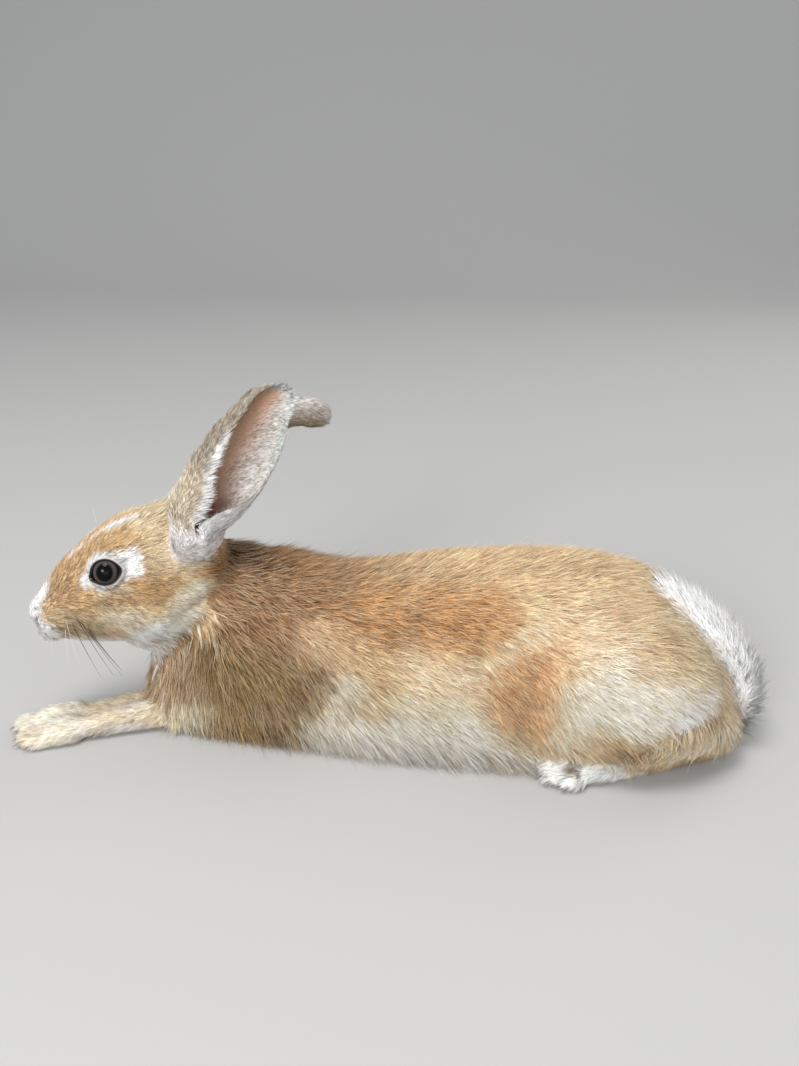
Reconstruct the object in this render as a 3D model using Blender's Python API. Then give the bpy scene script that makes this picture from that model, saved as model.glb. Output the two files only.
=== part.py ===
"""A young fawn rabbit lying stretched out with its head up, life size.

Metres, +Z up. The body lies along X with the head at -X; the head and forelegs turn to the animal's left, -Y.
The body is modelled whole, out to the tips of the coat, and then parted by thin cuts. Run it with
blender --background --python part.py
"""

import math

import bmesh
import bpy
import numpy as np
from mathutils import Matrix, Vector

MM = 0.001
GAP = 0.3 * MM  # clear space left by every cut

# Driving sizes
VOXEL = 1.5 * MM
HEAD_TURN = math.radians(24)
HEAD_ORIGIN = Vector((-100, -2, 0)) * MM  # below the joint of skull and neck
EYE_RADIUS = 8.4 * MM
EYE_CENTRE = Vector((-43.6, -14.6, 92.0)) * MM  # left eye, in the head's own frame
RING_POINTS = 36
LIMB_END = 0.55  # size of a limb's last ring

# Coat and skin colours, with roughness
FAWN = ((0.50, 0.27, 0.12, 1), 0.85)
CREAM = ((0.72, 0.58, 0.40, 1), 0.85)
WHITE = ((0.86, 0.85, 0.82, 1), 0.85)
EAR_GREY = ((0.55, 0.45, 0.38, 1), 0.8)
EYE_BLACK = ((0.02, 0.015, 0.012, 1), 0.08)
HORN = ((0.20, 0.16, 0.13, 1), 0.4)


# Helpers: scene, meshes and cuts

def clear_scene():
    for old in list(bpy.data.objects):
        bpy.data.objects.remove(old)


def material(name, finish):
    found = bpy.data.materials.get(name)
    if found:
        return found
    made = bpy.data.materials.new(name)
    made.use_nodes = True
    shader = made.node_tree.nodes["Principled BSDF"]
    shader.inputs["Base Color"].default_value = finish[0]
    shader.inputs["Roughness"].default_value = finish[1]
    shader.inputs["Metallic"].default_value = 0.0
    return made


def new_object(name, mesh):
    made = bpy.data.objects.new(name, mesh)
    bpy.context.scene.collection.objects.link(made)
    return made


def object_from(name, points, faces):
    mesh = bpy.data.meshes.new(name)
    mesh.from_pydata([tuple(p) for p in points], [], faces)
    mesh.update()
    return new_object(name, mesh)


def outward(obj):
    """Turns every face of a closed mesh outwards."""
    bm = bmesh.new()
    bm.from_mesh(obj.data)
    bmesh.ops.recalc_face_normals(bm, faces=bm.faces)
    bm.to_mesh(obj.data)
    bm.free()
    return obj


def loft(name, rings, folded=False):
    """A closed tube through rings of equally many points. Each end is a fan or, on a ring that is
    a folded strip, a band across the strip."""
    count = len(rings[0])
    points = [p for ring in rings for p in ring]
    faces = []
    for row in range(len(rings) - 1):
        for k in range(count):
            n = (k + 1) % count
            a, b = row * count + k, row * count + n
            faces.append((a, b, b + count, a + count))
    for row in (0, len(rings) - 1):
        start = row * count
        if folded:
            faces += [(start + k, start + k + 1, start + count - 2 - k, start + count - 1 - k)
                      for k in range(count // 2 - 1)]
            continue
        middle = len(points)
        points.append(np.mean(rings[row], axis=0))
        faces += [(start + k, start + (k + 1) % count, middle) for k in range(count)]
    return outward(object_from(name, points, faces))


def smooth_rows(rows, steps=4):
    """Rows of numbers, with steps - 1 more between each two on a Catmull-Rom curve."""
    rows = np.array(rows, float)
    padded = np.vstack([2 * rows[0] - rows[1], rows, 2 * rows[-1] - rows[-2]])
    made = []
    for i in range(1, len(rows)):
        p0, p1, p2, p3 = padded[i - 1 : i + 3]
        for t in np.arange(steps) / steps:
            made.append(
                0.5 * (2 * p1 + (p2 - p0) * t + (2 * p0 - 5 * p1 + 4 * p2 - p3) * t**2
                       + (3 * p1 - p0 - 3 * p2 + p3) * t**3)
            )
    return np.array(made + [rows[-1]])


def section(x, top, bottom, half, widest, round_top=2.0, round_bottom=3.2):
    """One upright ring at x: half wide on each side, widest at that height, superelliptic."""
    ring = []
    for k in range(RING_POINTS):
        turn = 2 * math.pi * k / RING_POINTS
        c, s = math.cos(turn), math.sin(turn)
        power = 2 / (round_top if s > 0 else round_bottom)
        reach = top - widest if s > 0 else widest - bottom
        ring.append((x, half * math.copysign(abs(c) ** power, c),
                     widest + reach * math.copysign(abs(s) ** power, s)))
    return np.array(ring) * MM


def ball(name, centre, radii, turn=(0, 0, 0), detail=20):
    """An ellipsoid, in mm, turned by degrees about X, Y and Z."""
    bm = bmesh.new()
    bmesh.ops.create_uvsphere(bm, u_segments=detail, v_segments=detail // 2 + 2, radius=1)
    spin = (Matrix.Rotation(math.radians(turn[2]), 4, "Z")
            @ Matrix.Rotation(math.radians(turn[1]), 4, "Y")
            @ Matrix.Rotation(math.radians(turn[0]), 4, "X"))
    scale = Matrix.Diagonal((*(r * MM for r in radii), 1))
    bm.transform(Matrix.Translation(Vector(centre) * MM) @ spin @ scale)
    mesh = bpy.data.meshes.new(name)
    bm.to_mesh(mesh)
    bm.free()
    return new_object(name, mesh)


def limb(name, path):
    """A tube along rows of (x, y, z, half width, half height) in mm, its ends drawn in. Its rings stand
    across the path."""
    rows = smooth_rows(path)
    rings = []
    for i, row in enumerate(rows):
        ahead = rows[min(i + 1, len(rows) - 1)][:3] - rows[max(i - 1, 0)][:3]
        ahead = Vector(ahead).normalized()
        side = ahead.cross(Vector((0, 0, 1))).normalized()
        up = side.cross(ahead)
        size = LIMB_END if i in (0, len(rows) - 1) else 1.0
        ring = []
        for k in range(RING_POINTS // 2):
            turn = 4 * math.pi * k / RING_POINTS
            ring.append(Vector(row[:3]) + side * (row[3] * size * math.cos(turn))
                        + up * (row[4] * size * math.sin(turn)))
        rings.append(np.array(ring) * MM)
    return loft(name, rings)


def region(name, planes, gap=0.0):
    """The convex space on the facing side of every (point in mm, facing) plane, grown by gap."""
    bm = bmesh.new()
    bmesh.ops.create_cube(bm, size=1.2)
    for point, facing in planes:
        across = Vector(facing).normalized()
        whole = list(bm.verts) + list(bm.edges) + list(bm.faces)
        place = Vector(point) * MM - across * gap
        cut = bmesh.ops.bisect_plane(bm, geom=whole, plane_co=place, plane_no=across, clear_inner=True)
        rim = [item for item in cut["geom_cut"] if isinstance(item, bmesh.types.BMEdge)]
        bmesh.ops.contextual_create(bm, geom=rim)
    bmesh.ops.recalc_face_normals(bm, faces=bm.faces)
    mesh = bpy.data.meshes.new(name)
    bm.to_mesh(mesh)
    bm.free()
    return new_object(name, mesh)


def evaluated(obj):
    """Applies obj's modifiers to its mesh."""
    graph = bpy.context.evaluated_depsgraph_get()
    mesh = bpy.data.meshes.new_from_object(obj.evaluated_get(graph))
    obj.modifiers.clear()
    obj.data = mesh
    return obj


def boolean(obj, other, operation):
    cut = obj.modifiers.new("cut", "BOOLEAN")
    cut.operation = operation
    cut.solver = "EXACT"
    cut.object = other
    return evaluated(obj)


def copy_of(obj, name):
    made = obj.copy()
    made.data = obj.data.copy()
    made.name = name
    bpy.context.scene.collection.objects.link(made)
    return made


def drop(*objects):
    for obj in objects:
        bpy.data.objects.remove(obj)


def largest_piece(obj):
    """Keeps the largest of the separate shells that a cut may leave."""
    bm = bmesh.new()
    bm.from_mesh(obj.data)
    left = set(bm.verts)
    shells = []
    while left:
        todo = [left.pop()]
        shell = set(todo)
        while todo:
            for edge in todo.pop().link_edges:
                for vert in edge.verts:
                    if vert in left:
                        left.discard(vert)
                        shell.add(vert)
                        todo.append(vert)
        shells.append(shell)
    shells.sort(key=len)
    for shell in shells[:-1]:
        bmesh.ops.delete(bm, geom=list(shell), context="VERTS")
    bm.to_mesh(obj.data)
    bm.free()
    return obj


def part_off(whole, name, *planes):
    """Parts what lies inside the planes from whole as a new object, leaving GAP between the two."""
    piece = copy_of(whole, name)
    inside = region("cutter", planes)
    boolean(piece, inside, "INTERSECT")
    grown = region("cutter", planes, GAP)
    boolean(whole, grown, "DIFFERENCE")
    drop(inside, grown)
    largest_piece(whole)
    return largest_piece(piece)


def grown_copy(obj, name, distance):
    """A copy with each vertex moved out along its normal."""
    made = copy_of(obj, name)
    points, _ = arrays(made.data)
    put(made.data, points + normals(made.data) * distance)
    return made


# Sculpting on arrays of points

def arrays(mesh):
    points = np.zeros(len(mesh.vertices) * 3, np.float32)
    mesh.vertices.foreach_get("co", points)
    edges = np.zeros(len(mesh.edges) * 2, np.int32)
    mesh.edges.foreach_get("vertices", edges)
    return points.reshape(-1, 3).astype(float), edges.reshape(-1, 2)


def normals(mesh):
    found = np.zeros(len(mesh.vertices) * 3, np.float32)
    mesh.vertices.foreach_get("normal", found)
    return found.reshape(-1, 3).astype(float)


def put(mesh, points):
    mesh.vertices.foreach_set("co", points.astype(np.float32).ravel())
    mesh.update()


def relax(points, edges, rounds, weight):
    """Moves each point towards the mean of its neighbours, by weight, in each round."""
    a, b = np.concatenate([edges, edges[:, ::-1]]).T
    count = np.bincount(a, minlength=len(points)).clip(1)
    for _ in range(rounds):
        mean = np.stack([np.bincount(a, points[b, k], len(points)) / count for k in range(3)], 1)
        points = points + (mean - points) * weight[:, None]
    return points


def fade(distance, radius):
    """1 at distance 0, falling smoothly to 0 at radius."""
    t = np.clip(1 - distance / radius, 0, 1)
    return t * t * (3 - 2 * t)


def along(points, path):
    """Distance in metres from each point to a polyline given in metres."""
    best = np.full(len(points), 1e9)
    for start, end in zip(path[:-1], path[1:]):
        start, step = np.array(start), np.array(end) - np.array(start)
        t = np.clip((points - start) @ step / (step @ step), 0, 1)
        best = np.minimum(best, np.linalg.norm(points - start - t[:, None] * step, axis=1))
    return best


# Head frame: x runs from the nose (-) to the neck, y to the right, z up from the floor, turned to the left

HEAD_FRAME = Matrix.Translation(HEAD_ORIGIN) @ Matrix.Rotation(HEAD_TURN, 4, "Z")


def on_head(point_mm):
    return HEAD_FRAME @ (Vector(point_mm) * MM)


def to_head(obj):
    obj.data.transform(HEAD_FRAME)
    return obj


# The body: trunk, neck, head, haunches and legs as closed shapes that overlap, before they are fused

def make_trunk():
    # x, top, bottom, half width, widest height; a bottom under 0 makes the flat that lies on the floor
    rows = [
        (-128, 38, 8, 12, 22),
        (-123, 50, 2, 19, 25),
        (-112, 64, -3, 24, 27),
        (-98, 81, -5, 28, 30),
        (-80, 90.5, -6, 31, 33),
        (-58, 90.5, -6, 34, 34),
        (-36, 86, -6, 37, 33),
        (-12, 86, -6, 40, 32),
        (14, 90.5, -6, 43, 33),
        (42, 93.5, -6, 45, 34),
        (70, 95, -6, 46, 36),
        (95, 93.5, -6, 45, 38),
        (118, 85, -5, 41, 37),
        (138, 71.5, -4, 35, 33),
        (153, 54, -2, 28, 27),
        (164, 33, 2, 17, 18),
    ]
    return loft("trunk", [section(*row) for row in smooth_rows(rows)])


def make_neck():
    # Rings across the neck, from the withers up to the back of the skull
    path = [
        (-62, 3, 48, 30, 38),
        (-80, 2, 55, 28, 36),
        (-96, -1, 66, 26, 32),
        (-110, -6, 76, 24, 28),
    ]
    return limb("neck", path)


def make_skull():
    # In the head frame: x, top, bottom, half width, widest height
    rows = [
        (12, 96, 62, 19, 80),
        (4, 105, 58, 23.5, 80),
        (-8, 114, 53, 25.5, 78),
        (-20, 116, 51, 26, 76),
        (-31, 115, 50, 25, 76),
        (-43, 109.5, 50, 22.5, 77),
        (-54, 102, 51, 19, 76),
        (-63, 94.5, 53, 15.6, 75),
        (-70, 87, 55.5, 13, 73),
        (-75.5, 79.5, 59, 10.4, 70),
        (-79.5, 73, 63, 6.2, 68),
    ]
    rings = [section(*row, round_top=2.15, round_bottom=2.1) for row in smooth_rows(rows)]
    return to_head(loft("skull", rings))


def head_bulges():
    """Cheeks, whisker pads, chin, nose and the bases of the ears."""
    made = [
        to_head(ball("chin", (-73.6, 0, 57.8), (6.2, 6.4, 4.6), (0, 8, 0))),
        to_head(ball("nose", (-74.5, 0, 70.5), (6.8, 6, 7.8), (0, -28, 0))),
        to_head(ball("throat", (-21, 0, 56.5), (29, 17, 17), (0, 20, 0))),
    ]
    for side in (-1, 1):
        made += [
            to_head(ball("cheek", (-24, side * 14, 70), (24, 13.5, 18), (0, 14, 0))),
            to_head(ball("whisker_pad", (-69.5, side * 6.4, 66), (9.6, 7.6, 8.4), (0, 12, side * -14))),
            to_head(ball("ear_root", (-3, side * 17.5, 97), (13.5, 10.5, 15), (0, -20, 0))),
        ]
    return made


# Hind limb, left side: thigh over a long foot that lies flat, toes turned out
FOOT_PATH = [
    (163, -11, 8, 8, 9),
    (150, -18, 8, 9.5, 9.5),
    (128, -28, 7.5, 10, 9.5),
    (106, -37.5, 7.5, 10.5, 9.5),
    (92, -42.5, 7, 11, 8.8),
]
HIND_TOES = [(83, -38, -8), (80, -42.5, 0), (82, -47.5, 8), (89, -51, 16)]

# Foreleg, left side, and its paw. The right leg lies close behind it.
LEFT_ARM = [(-109, -16, 11, 9.5, 10), (-117, -18.5, 9, 9, 9), (-126, -21.5, 7.6, 8, 8),
            (-141, -28, 6.8, 7.2, 7.4), (-154, -34, 6.2, 7.4, 7)]
LEFT_PAW = [(-154, -34, 6.2, 7.4, 7), (-164, -38.5, 6, 8.6, 7), (-174, -42, 5.2, 7.6, 6)]
LEFT_TOES = [(-177, -38.5, -14), (-179.5, -42, -6), (-177.5, -45.4, 2), (-172, -46.6, 12)]
RIGHT_ARM = [(-109, 4, 10.5, 9, 9.5), (-117, -1, 8.2, 7.6, 8), (-126, -6, 7, 6.6, 7.2),
             (-141, -13.2, 6.2, 6, 6.4), (-156, -20, 6, 6.4, 6.4)]
RIGHT_PAW = [(-156, -20, 6, 6.4, 6.4), (-168, -24.5, 6, 7.2, 6.8), (-180, -29.5, 5.2, 6.6, 5.8)]
RIGHT_TOES = [(-183, -34, 6), (-186, -31, 0), (-185, -27.4, -8), (-180, -24.4, -16)]


def make_toes(name, toes, heading, size):
    """Short fat toes at (x, y, turn): each is an ellipsoid along heading plus its own turn."""
    return [ball(f"{name}_toe", (x, y, size[2] * 0.92), size, (0, 0, heading + turn)) for x, y, turn in toes]


def mirrored(path):
    return [(row[0], -row[1], *row[2:]) for row in path]


def hind_limb(side):
    """side is -1 for the left, 1 for the right."""
    path = FOOT_PATH if side < 0 else mirrored(FOOT_PATH)
    toes = HIND_TOES if side < 0 else [(x, -y, -turn) for x, y, turn in HIND_TOES]
    made = [
        limb("foot", path),
        ball("thigh", (104, side * 33, 43), (47, 23, 38), (side * 6, 16, side * 4), 28),
        ball("knee", (78, side * 36, 29), (27, 14, 22), (0, 25, side * 8)),
        ball("shank", (134, side * 27, 24), (32, 17, 19), (0, 12, side * -14)),
        ball("heel", (157, side * 14, 9.5), (11, 9.5, 9.5), (0, 0, side * -24)),
    ]
    return made + make_toes("hind", toes, side * -24 + 180, (9.5, 4.6, 5))


def shoulders():
    made = []
    for side in (-1, 1):
        made += [
            ball("shoulder", (-74, side * 20, 40), (26, 15, 34), (side * -6, -28, 0)),
            ball("elbow", (-97, side * 15, 18), (25, 13, 17), (0, 0, 10)),
        ]
    return made


def foreleg(name, arm, paw, toes, heading):
    shapes = [limb("arm", arm), limb("paw", paw), *make_toes("fore", toes, heading, (7.6, 3.3, 4.2))]
    leg = fuse(shapes, name)
    points, edges = arrays(leg.data)
    points = relax(points, edges, SOFTENING["foreleg"], np.full(len(points), 0.5))
    points[:, 2] = np.maximum(points[:, 2], 0)
    put(leg.data, points)
    return leg


def fuse(objects, name):
    """Joins the shapes' meshes and remeshes them as one skin."""
    bm = bmesh.new()
    for obj in objects:
        bm.from_mesh(obj.data)
    mesh = bpy.data.meshes.new(name)
    bm.to_mesh(mesh)
    bm.free()
    drop(*objects)
    made = new_object(name, mesh)
    remesh = made.modifiers.new("fuse", "REMESH")
    remesh.mode = "VOXEL"
    remesh.voxel_size = VOXEL
    return evaluated(made)


def in_head_frame(points):
    turn = np.array(HEAD_FRAME.to_3x3())
    return (points - np.array(HEAD_ORIGIN)) @ turn


# Folds worked into the body: (line in mm, half width, depth), for the left side at -Y and mirrored
HEAD_FOLDS = [
    ([(4, -25, 76), (-16, -22, 58), (-26, -12, 50)], 7, 1.2),  # behind the jaw
    ([(-79, -1, 64.5), (-73, -8, 62), (-66, -12, 60)], 3, 1.4),  # mouth
]
BODY_FOLDS = [([(62, -44, 20), (64, -42, 48), (84, -40, 72)], 13, 1.8)]  # between flank and thigh
LID_RISE, LID_WIDTH = 1.1 * MM, 4.5 * MM
SOFTENING = {"body": 26, "fine": 5, "foreleg": 4}  # rounds of smoothing
HEAD_FLOOR = 46 * MM  # the head is above it
HEAD_FADE = 14 * MM
PAW_TOP, PAW_AHEAD, PAW_ASIDE = 17 * MM, -128 * MM, 33 * MM


def folded(points, facing, measured, folds, side):
    """Points moved in along the folds of one side. measured is the points in the folds' own frame."""
    for line, half_width, depth in folds:
        path = [np.array((x, -side * y, z)) * MM for x, y, z in line]
        points = points - facing * (fade(along(measured, path), half_width * MM) * depth * MM)[:, None]
    return points


def sculpt(body):
    """Softens the joins, then works the folds and the rims of the eyes in, and sets the body on the floor."""
    points, edges = arrays(body.data)
    head = in_head_frame(points)
    is_head = np.clip((2 * MM - head[:, 0]) / HEAD_FADE, 0, 1) * (points[:, 2] > HEAD_FLOOR)
    aside = (points[:, 0] < PAW_AHEAD) | (abs(points[:, 1]) > PAW_ASIDE)
    is_paw = ((points[:, 2] < PAW_TOP) & aside).astype(float)
    fine = np.clip(is_head + is_paw, 0, 1)
    points = relax(points, edges, SOFTENING["body"], 0.5 * (1 - fine))
    points = relax(points, edges, SOFTENING["fine"], 0.5 * fine)
    put(body.data, points)
    facing = normals(body.data)
    head = in_head_frame(points)
    for side in (-1, 1):
        centre = np.array((EYE_CENTRE.x, side * abs(EYE_CENTRE.y), EYE_CENTRE.z))
        away = np.linalg.norm(head - centre, axis=1)
        rim = fade(abs(away - EYE_RADIUS), LID_WIDTH) * (side * head[:, 1] > 6 * MM)
        points = points + facing * (rim * LID_RISE)[:, None]
        points = folded(points, facing, head, HEAD_FOLDS, side)
        points = folded(points, facing, points, BODY_FOLDS, side)
    points[:, 2] = np.maximum(points[:, 2], 0)
    put(body.data, points)
    return body


def welded(obj):
    """Joins points that all but coincide, and closes the mesh afresh where faces pinch together."""
    bm = bmesh.new()
    bm.from_mesh(obj.data)
    bmesh.ops.remove_doubles(bm, verts=bm.verts, dist=0.02 * MM)
    bmesh.ops.dissolve_degenerate(bm, edges=bm.edges, dist=0.01 * MM)
    for _ in range(6):
        pinched = {face for edge in bm.edges if len(edge.link_faces) > 2 for face in edge.link_faces}
        pinched |= {face for vert in bm.verts if not vert.is_manifold for face in vert.link_faces}
        bmesh.ops.delete(bm, geom=list(pinched), context="FACES")
        loose = [vert for vert in bm.verts if not vert.link_faces]
        bmesh.ops.delete(bm, geom=loose, context="VERTS")
        rim = [edge for edge in bm.edges if len(edge.link_faces) < 2]
        if not rim:
            break
        bmesh.ops.holes_fill(bm, edges=rim, sides=0)
    bmesh.ops.triangulate(bm, faces=bm.faces)
    bmesh.ops.recalc_face_normals(bm, faces=bm.faces)
    if bm.calc_volume(signed=True) < 0:
        bmesh.ops.reverse_faces(bm, faces=bm.faces)
    bm.to_mesh(obj.data)
    bm.free()
    obj.data.calc_loop_triangles()
    return obj


def is_closed(mesh):
    bm = bmesh.new()
    bm.from_mesh(mesh)
    good = all(len(edge.link_faces) == 2 for edge in bm.edges) and all(v.is_manifold for v in bm.verts)
    bm.free()
    return good


def thin_out(obj, wanted):
    """Reduces a piece to about the wanted number of triangles, closed, with its floor flat at one level."""
    whole = welded(obj).data
    for more in range(0, 120, 5):
        obj.data = whole.copy()
        thin = obj.modifiers.new("thin", "DECIMATE")
        thin.ratio = min(1, (wanted + more) / len(whole.loop_triangles))
        thin.use_collapse_triangulate = True
        evaluated(obj)
        points, _ = arrays(obj.data)
        points[points[:, 2] < 0.3 * MM, 2] = 0
        put(obj.data, points)
        if is_closed(obj.data):
            break
    return obj


# Ears: cupped sheets, open to the side and a little back, thickest at the root

EAR_ARC_POINTS = 12
EAR_THICK = 2.6
EAR_TAPER = 0.35  # share of its thickness that an ear loses towards its tip
EAR_ROOM = 0.8  # clear space round the root, in the head
EAR_ROOT_ROWS = 7


def ear(name, rows):
    """The ear, and the room that its rolled root needs in the head. rows, in the head frame and mm: x, y, z
    of the back of the cup; x, y, z of where the cup faces; half width, half depth; degrees round the
    ellipse from the back to one edge and to the other."""
    rows = np.array(rows, float)
    rings, room = [], []
    for i, row in enumerate(rows):
        axis = Vector(rows[min(i + 1, len(rows) - 1)][:3] - rows[max(i - 1, 0)][:3]).normalized()
        mouth = Vector(row[3:6])
        mouth = (mouth - axis * mouth.dot(axis)).normalized()
        side = axis.cross(mouth)
        wide, deep = row[6], row[7]
        thick = EAR_THICK * (1 - EAR_TAPER * i / len(rows))

        def place(angle, more):
            return (Vector(row[:3]) + mouth * (deep - (deep + more) * math.cos(angle))
                    + side * ((wide + more) * math.sin(angle)))

        arc = np.radians(np.linspace(-row[8], row[9], EAR_ARC_POINTS))
        rim = 1 - 0.4 * np.linspace(-1, 1, EAR_ARC_POINTS) ** 4
        ring = [place(angle, thick / 2 * part) for angle, part in zip(arc, rim)]
        ring += [place(angle, -thick / 2 * part) for angle, part in zip(arc[::-1], rim)]
        rings.append(np.array(ring) * MM)
        around = np.arange(EAR_ARC_POINTS) * 2 * math.pi / EAR_ARC_POINTS
        below = axis * EAR_ROOM if i == 0 else Vector()
        room.append(np.array([place(angle, thick / 2 + EAR_ROOM) - below for angle in around]) * MM)
    return to_head(loft(name, rings, folded=True)), to_head(loft(f"{name}_room", room[:EAR_ROOT_ROWS]))


def make_ears():
    left = ear("ear_left", [
        (-5, -12, 96, 0.25, -0.9, 0.35, 10, 6.5, 177, 177),
        (-5, -13, 104, 0.25, -0.9, 0.35, 11.5, 8, 177, 177),
        (-4, -14, 110, 0.25, -0.9, 0.35, 13, 8.5, 176, 177),
        (-3, -14.5, 114.5, 0.25, -0.9, 0.35, 12.8, 8.6, 173, 178),
        (0.5, -15, 119.5, 0.25, -0.9, 0.35, 13.9, 8.8, 168, 176),
        (6, -15.8, 127, 0.25, -0.9, 0.35, 15.6, 8.8, 163, 152),
        (11, -16.8, 134, 0.25, -0.9, 0.35, 16.7, 8.4, 150, 118),
        (16, -18, 141, 0.25, -0.9, 0.35, 17, 7.8, 141, 101),
        (24, -21, 153.5, 0.25, -0.9, 0.35, 16, 6.6, 134, 94),
        (31, -24.5, 164.5, 0.25, -0.9, 0.35, 12.6, 5, 134, 88),
        (36.6, -27, 171.4, 0.25, -0.9, 0.35, 9.2, 3.5, 120, 80),
        (39.3, -28.2, 175, 0.25, -0.9, 0.35, 5.6, 2.1, 105, 78),
        (40.1, -28.5, 176.2, 0.25, -0.9, 0.35, 3.2, 1.2, 95, 75),
    ])
    right = ear("ear_right", [
        (-4, 12, 96, 0.25, 0.9, 0.35, 10, 6.5, 177, 177),
        (-1, 13, 104, 0.25, 0.9, 0.35, 11.5, 8, 177, 177),
        (6, 15, 111, 0.25, 0.9, 0.35, 12.5, 8, 177, 174),
        (12, 17, 117.5, 0.25, 0.9, 0.35, 13.2, 8, 172, 168),
        (19, 19, 125, 0.25, 0.9, 0.35, 14, 8, 146, 164),
        (26, 20, 131, 0.2, 0.9, 0.35, 14.5, 7.8, 112, 160),
        (38, 23, 139.3, 0.15, 0.9, 0.35, 12.6, 6.8, 97, 148),
        (50, 26, 145.6, 0.1, 0.9, 0.35, 9.2, 5, 93, 136),
        (60, 28, 146.6, 0.1, 0.9, 0.35, 7.7, 4, 91, 126),
        (68.5, 29.4, 145, 0.1, 0.9, 0.35, 7.8, 3.5, 90, 118),
        (72.8, 30, 143.6, 0.1, 0.9, 0.35, 5.8, 2.4, 88, 104),
        (74.5, 30.3, 143, 0.1, 0.9, 0.35, 3.2, 1.3, 85, 95),
    ])
    return left, right


TAIL_ROOM = 0.9 * MM  # clear space round the tail, in the rump and feet
TAIL_POINTS = 14


def make_tail():
    """Turned up along the rump, wide and flat, with its tip at the top of the croup."""
    rows = smooth_rows([
        (163, 2, 11, 12, 8),
        (168, 1, 20, 15, 8.5),
        (168, 0, 36, 16, 8.2),
        (161, 0, 50, 15, 7.6),
        (150, 0, 62.5, 13, 6.8),
        (137, 0, 74, 10, 5.6),
        (125, 0, 83, 4, 3),
    ], 2)
    rings = []
    for i, row in enumerate(rows):
        ahead = Vector(rows[min(i + 1, len(rows) - 1)][:3] - rows[max(i - 1, 0)][:3]).normalized()
        side = Vector((0, 1, 0))
        out = side.cross(ahead).normalized()
        ring = []
        for k in range(TAIL_POINTS):
            turn = 2 * math.pi * k / TAIL_POINTS
            ring.append(Vector(row[:3]) + side * (row[3] * math.cos(turn)) + out * (row[4] * math.sin(turn)))
        rings.append(np.array(ring) * MM)
    return loft("tail", rings)


def eyeball(name, side, radius):
    centre = EYE_CENTRE / MM
    return to_head(ball(name, (centre.x, side * abs(centre.y), centre.z), [radius / MM] * 3, detail=14))


def make_claw(name, x, y, heading, gap=0.0):
    """A small curved cone in the tip of a toe, pointing to heading in degrees. gap makes its socket."""
    ahead = Vector((math.cos(math.radians(heading)), math.sin(math.radians(heading)), 0))
    across = Vector((-ahead.y, ahead.x, 0))
    rings = []
    for t in (0, 0.5, 1):
        middle = Vector((x, y, 4.6)) * MM + ahead * (7 * t - 2.5) * MM
        middle.z -= 2.8 * t * t * MM
        radius = 1.3 * (1 - 0.75 * t) * MM + gap
        rings.append(np.array([
            middle + across * (radius * 0.8 * math.cos(a)) + Vector((0, 0, radius * math.sin(a)))
            for a in np.arange(5) * math.pi / 2.5
        ]))
    return loft(name, rings)


def give_claws(paw, name, toes, heading, reach):
    """Each claw is a solid of its own in a socket cut into the paw."""
    for index, (x, y, turn) in enumerate(toes, 1):
        points = math.radians(heading + turn)
        tip = (x + reach * math.cos(points), y + reach * math.sin(points))
        socket = make_claw("socket", *tip, heading + turn, gap=GAP)
        boolean(paw, socket, "DIFFERENCE")
        drop(socket)
        claw = make_claw(f"{name}_claw_{index}", *tip, heading + turn)
        dress(claw, "claw_horn", HORN)
    largest_piece(paw)


def dress(obj, name, finish):
    obj.data.materials.clear()
    obj.data.materials.append(material(name, finish))
    obj.data.shade_flat()


def socket_in(whole, obj, size=GAP):
    """Cuts room for obj from whole."""
    grown = grown_copy(obj, "socket", size)
    boolean(whole, grown, "DIFFERENCE")
    drop(grown)
    largest_piece(welded(whole))


FORE_REACH, HIND_REACH = 5.5, 7  # from the middle of a toe to the root of its claw


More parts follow.
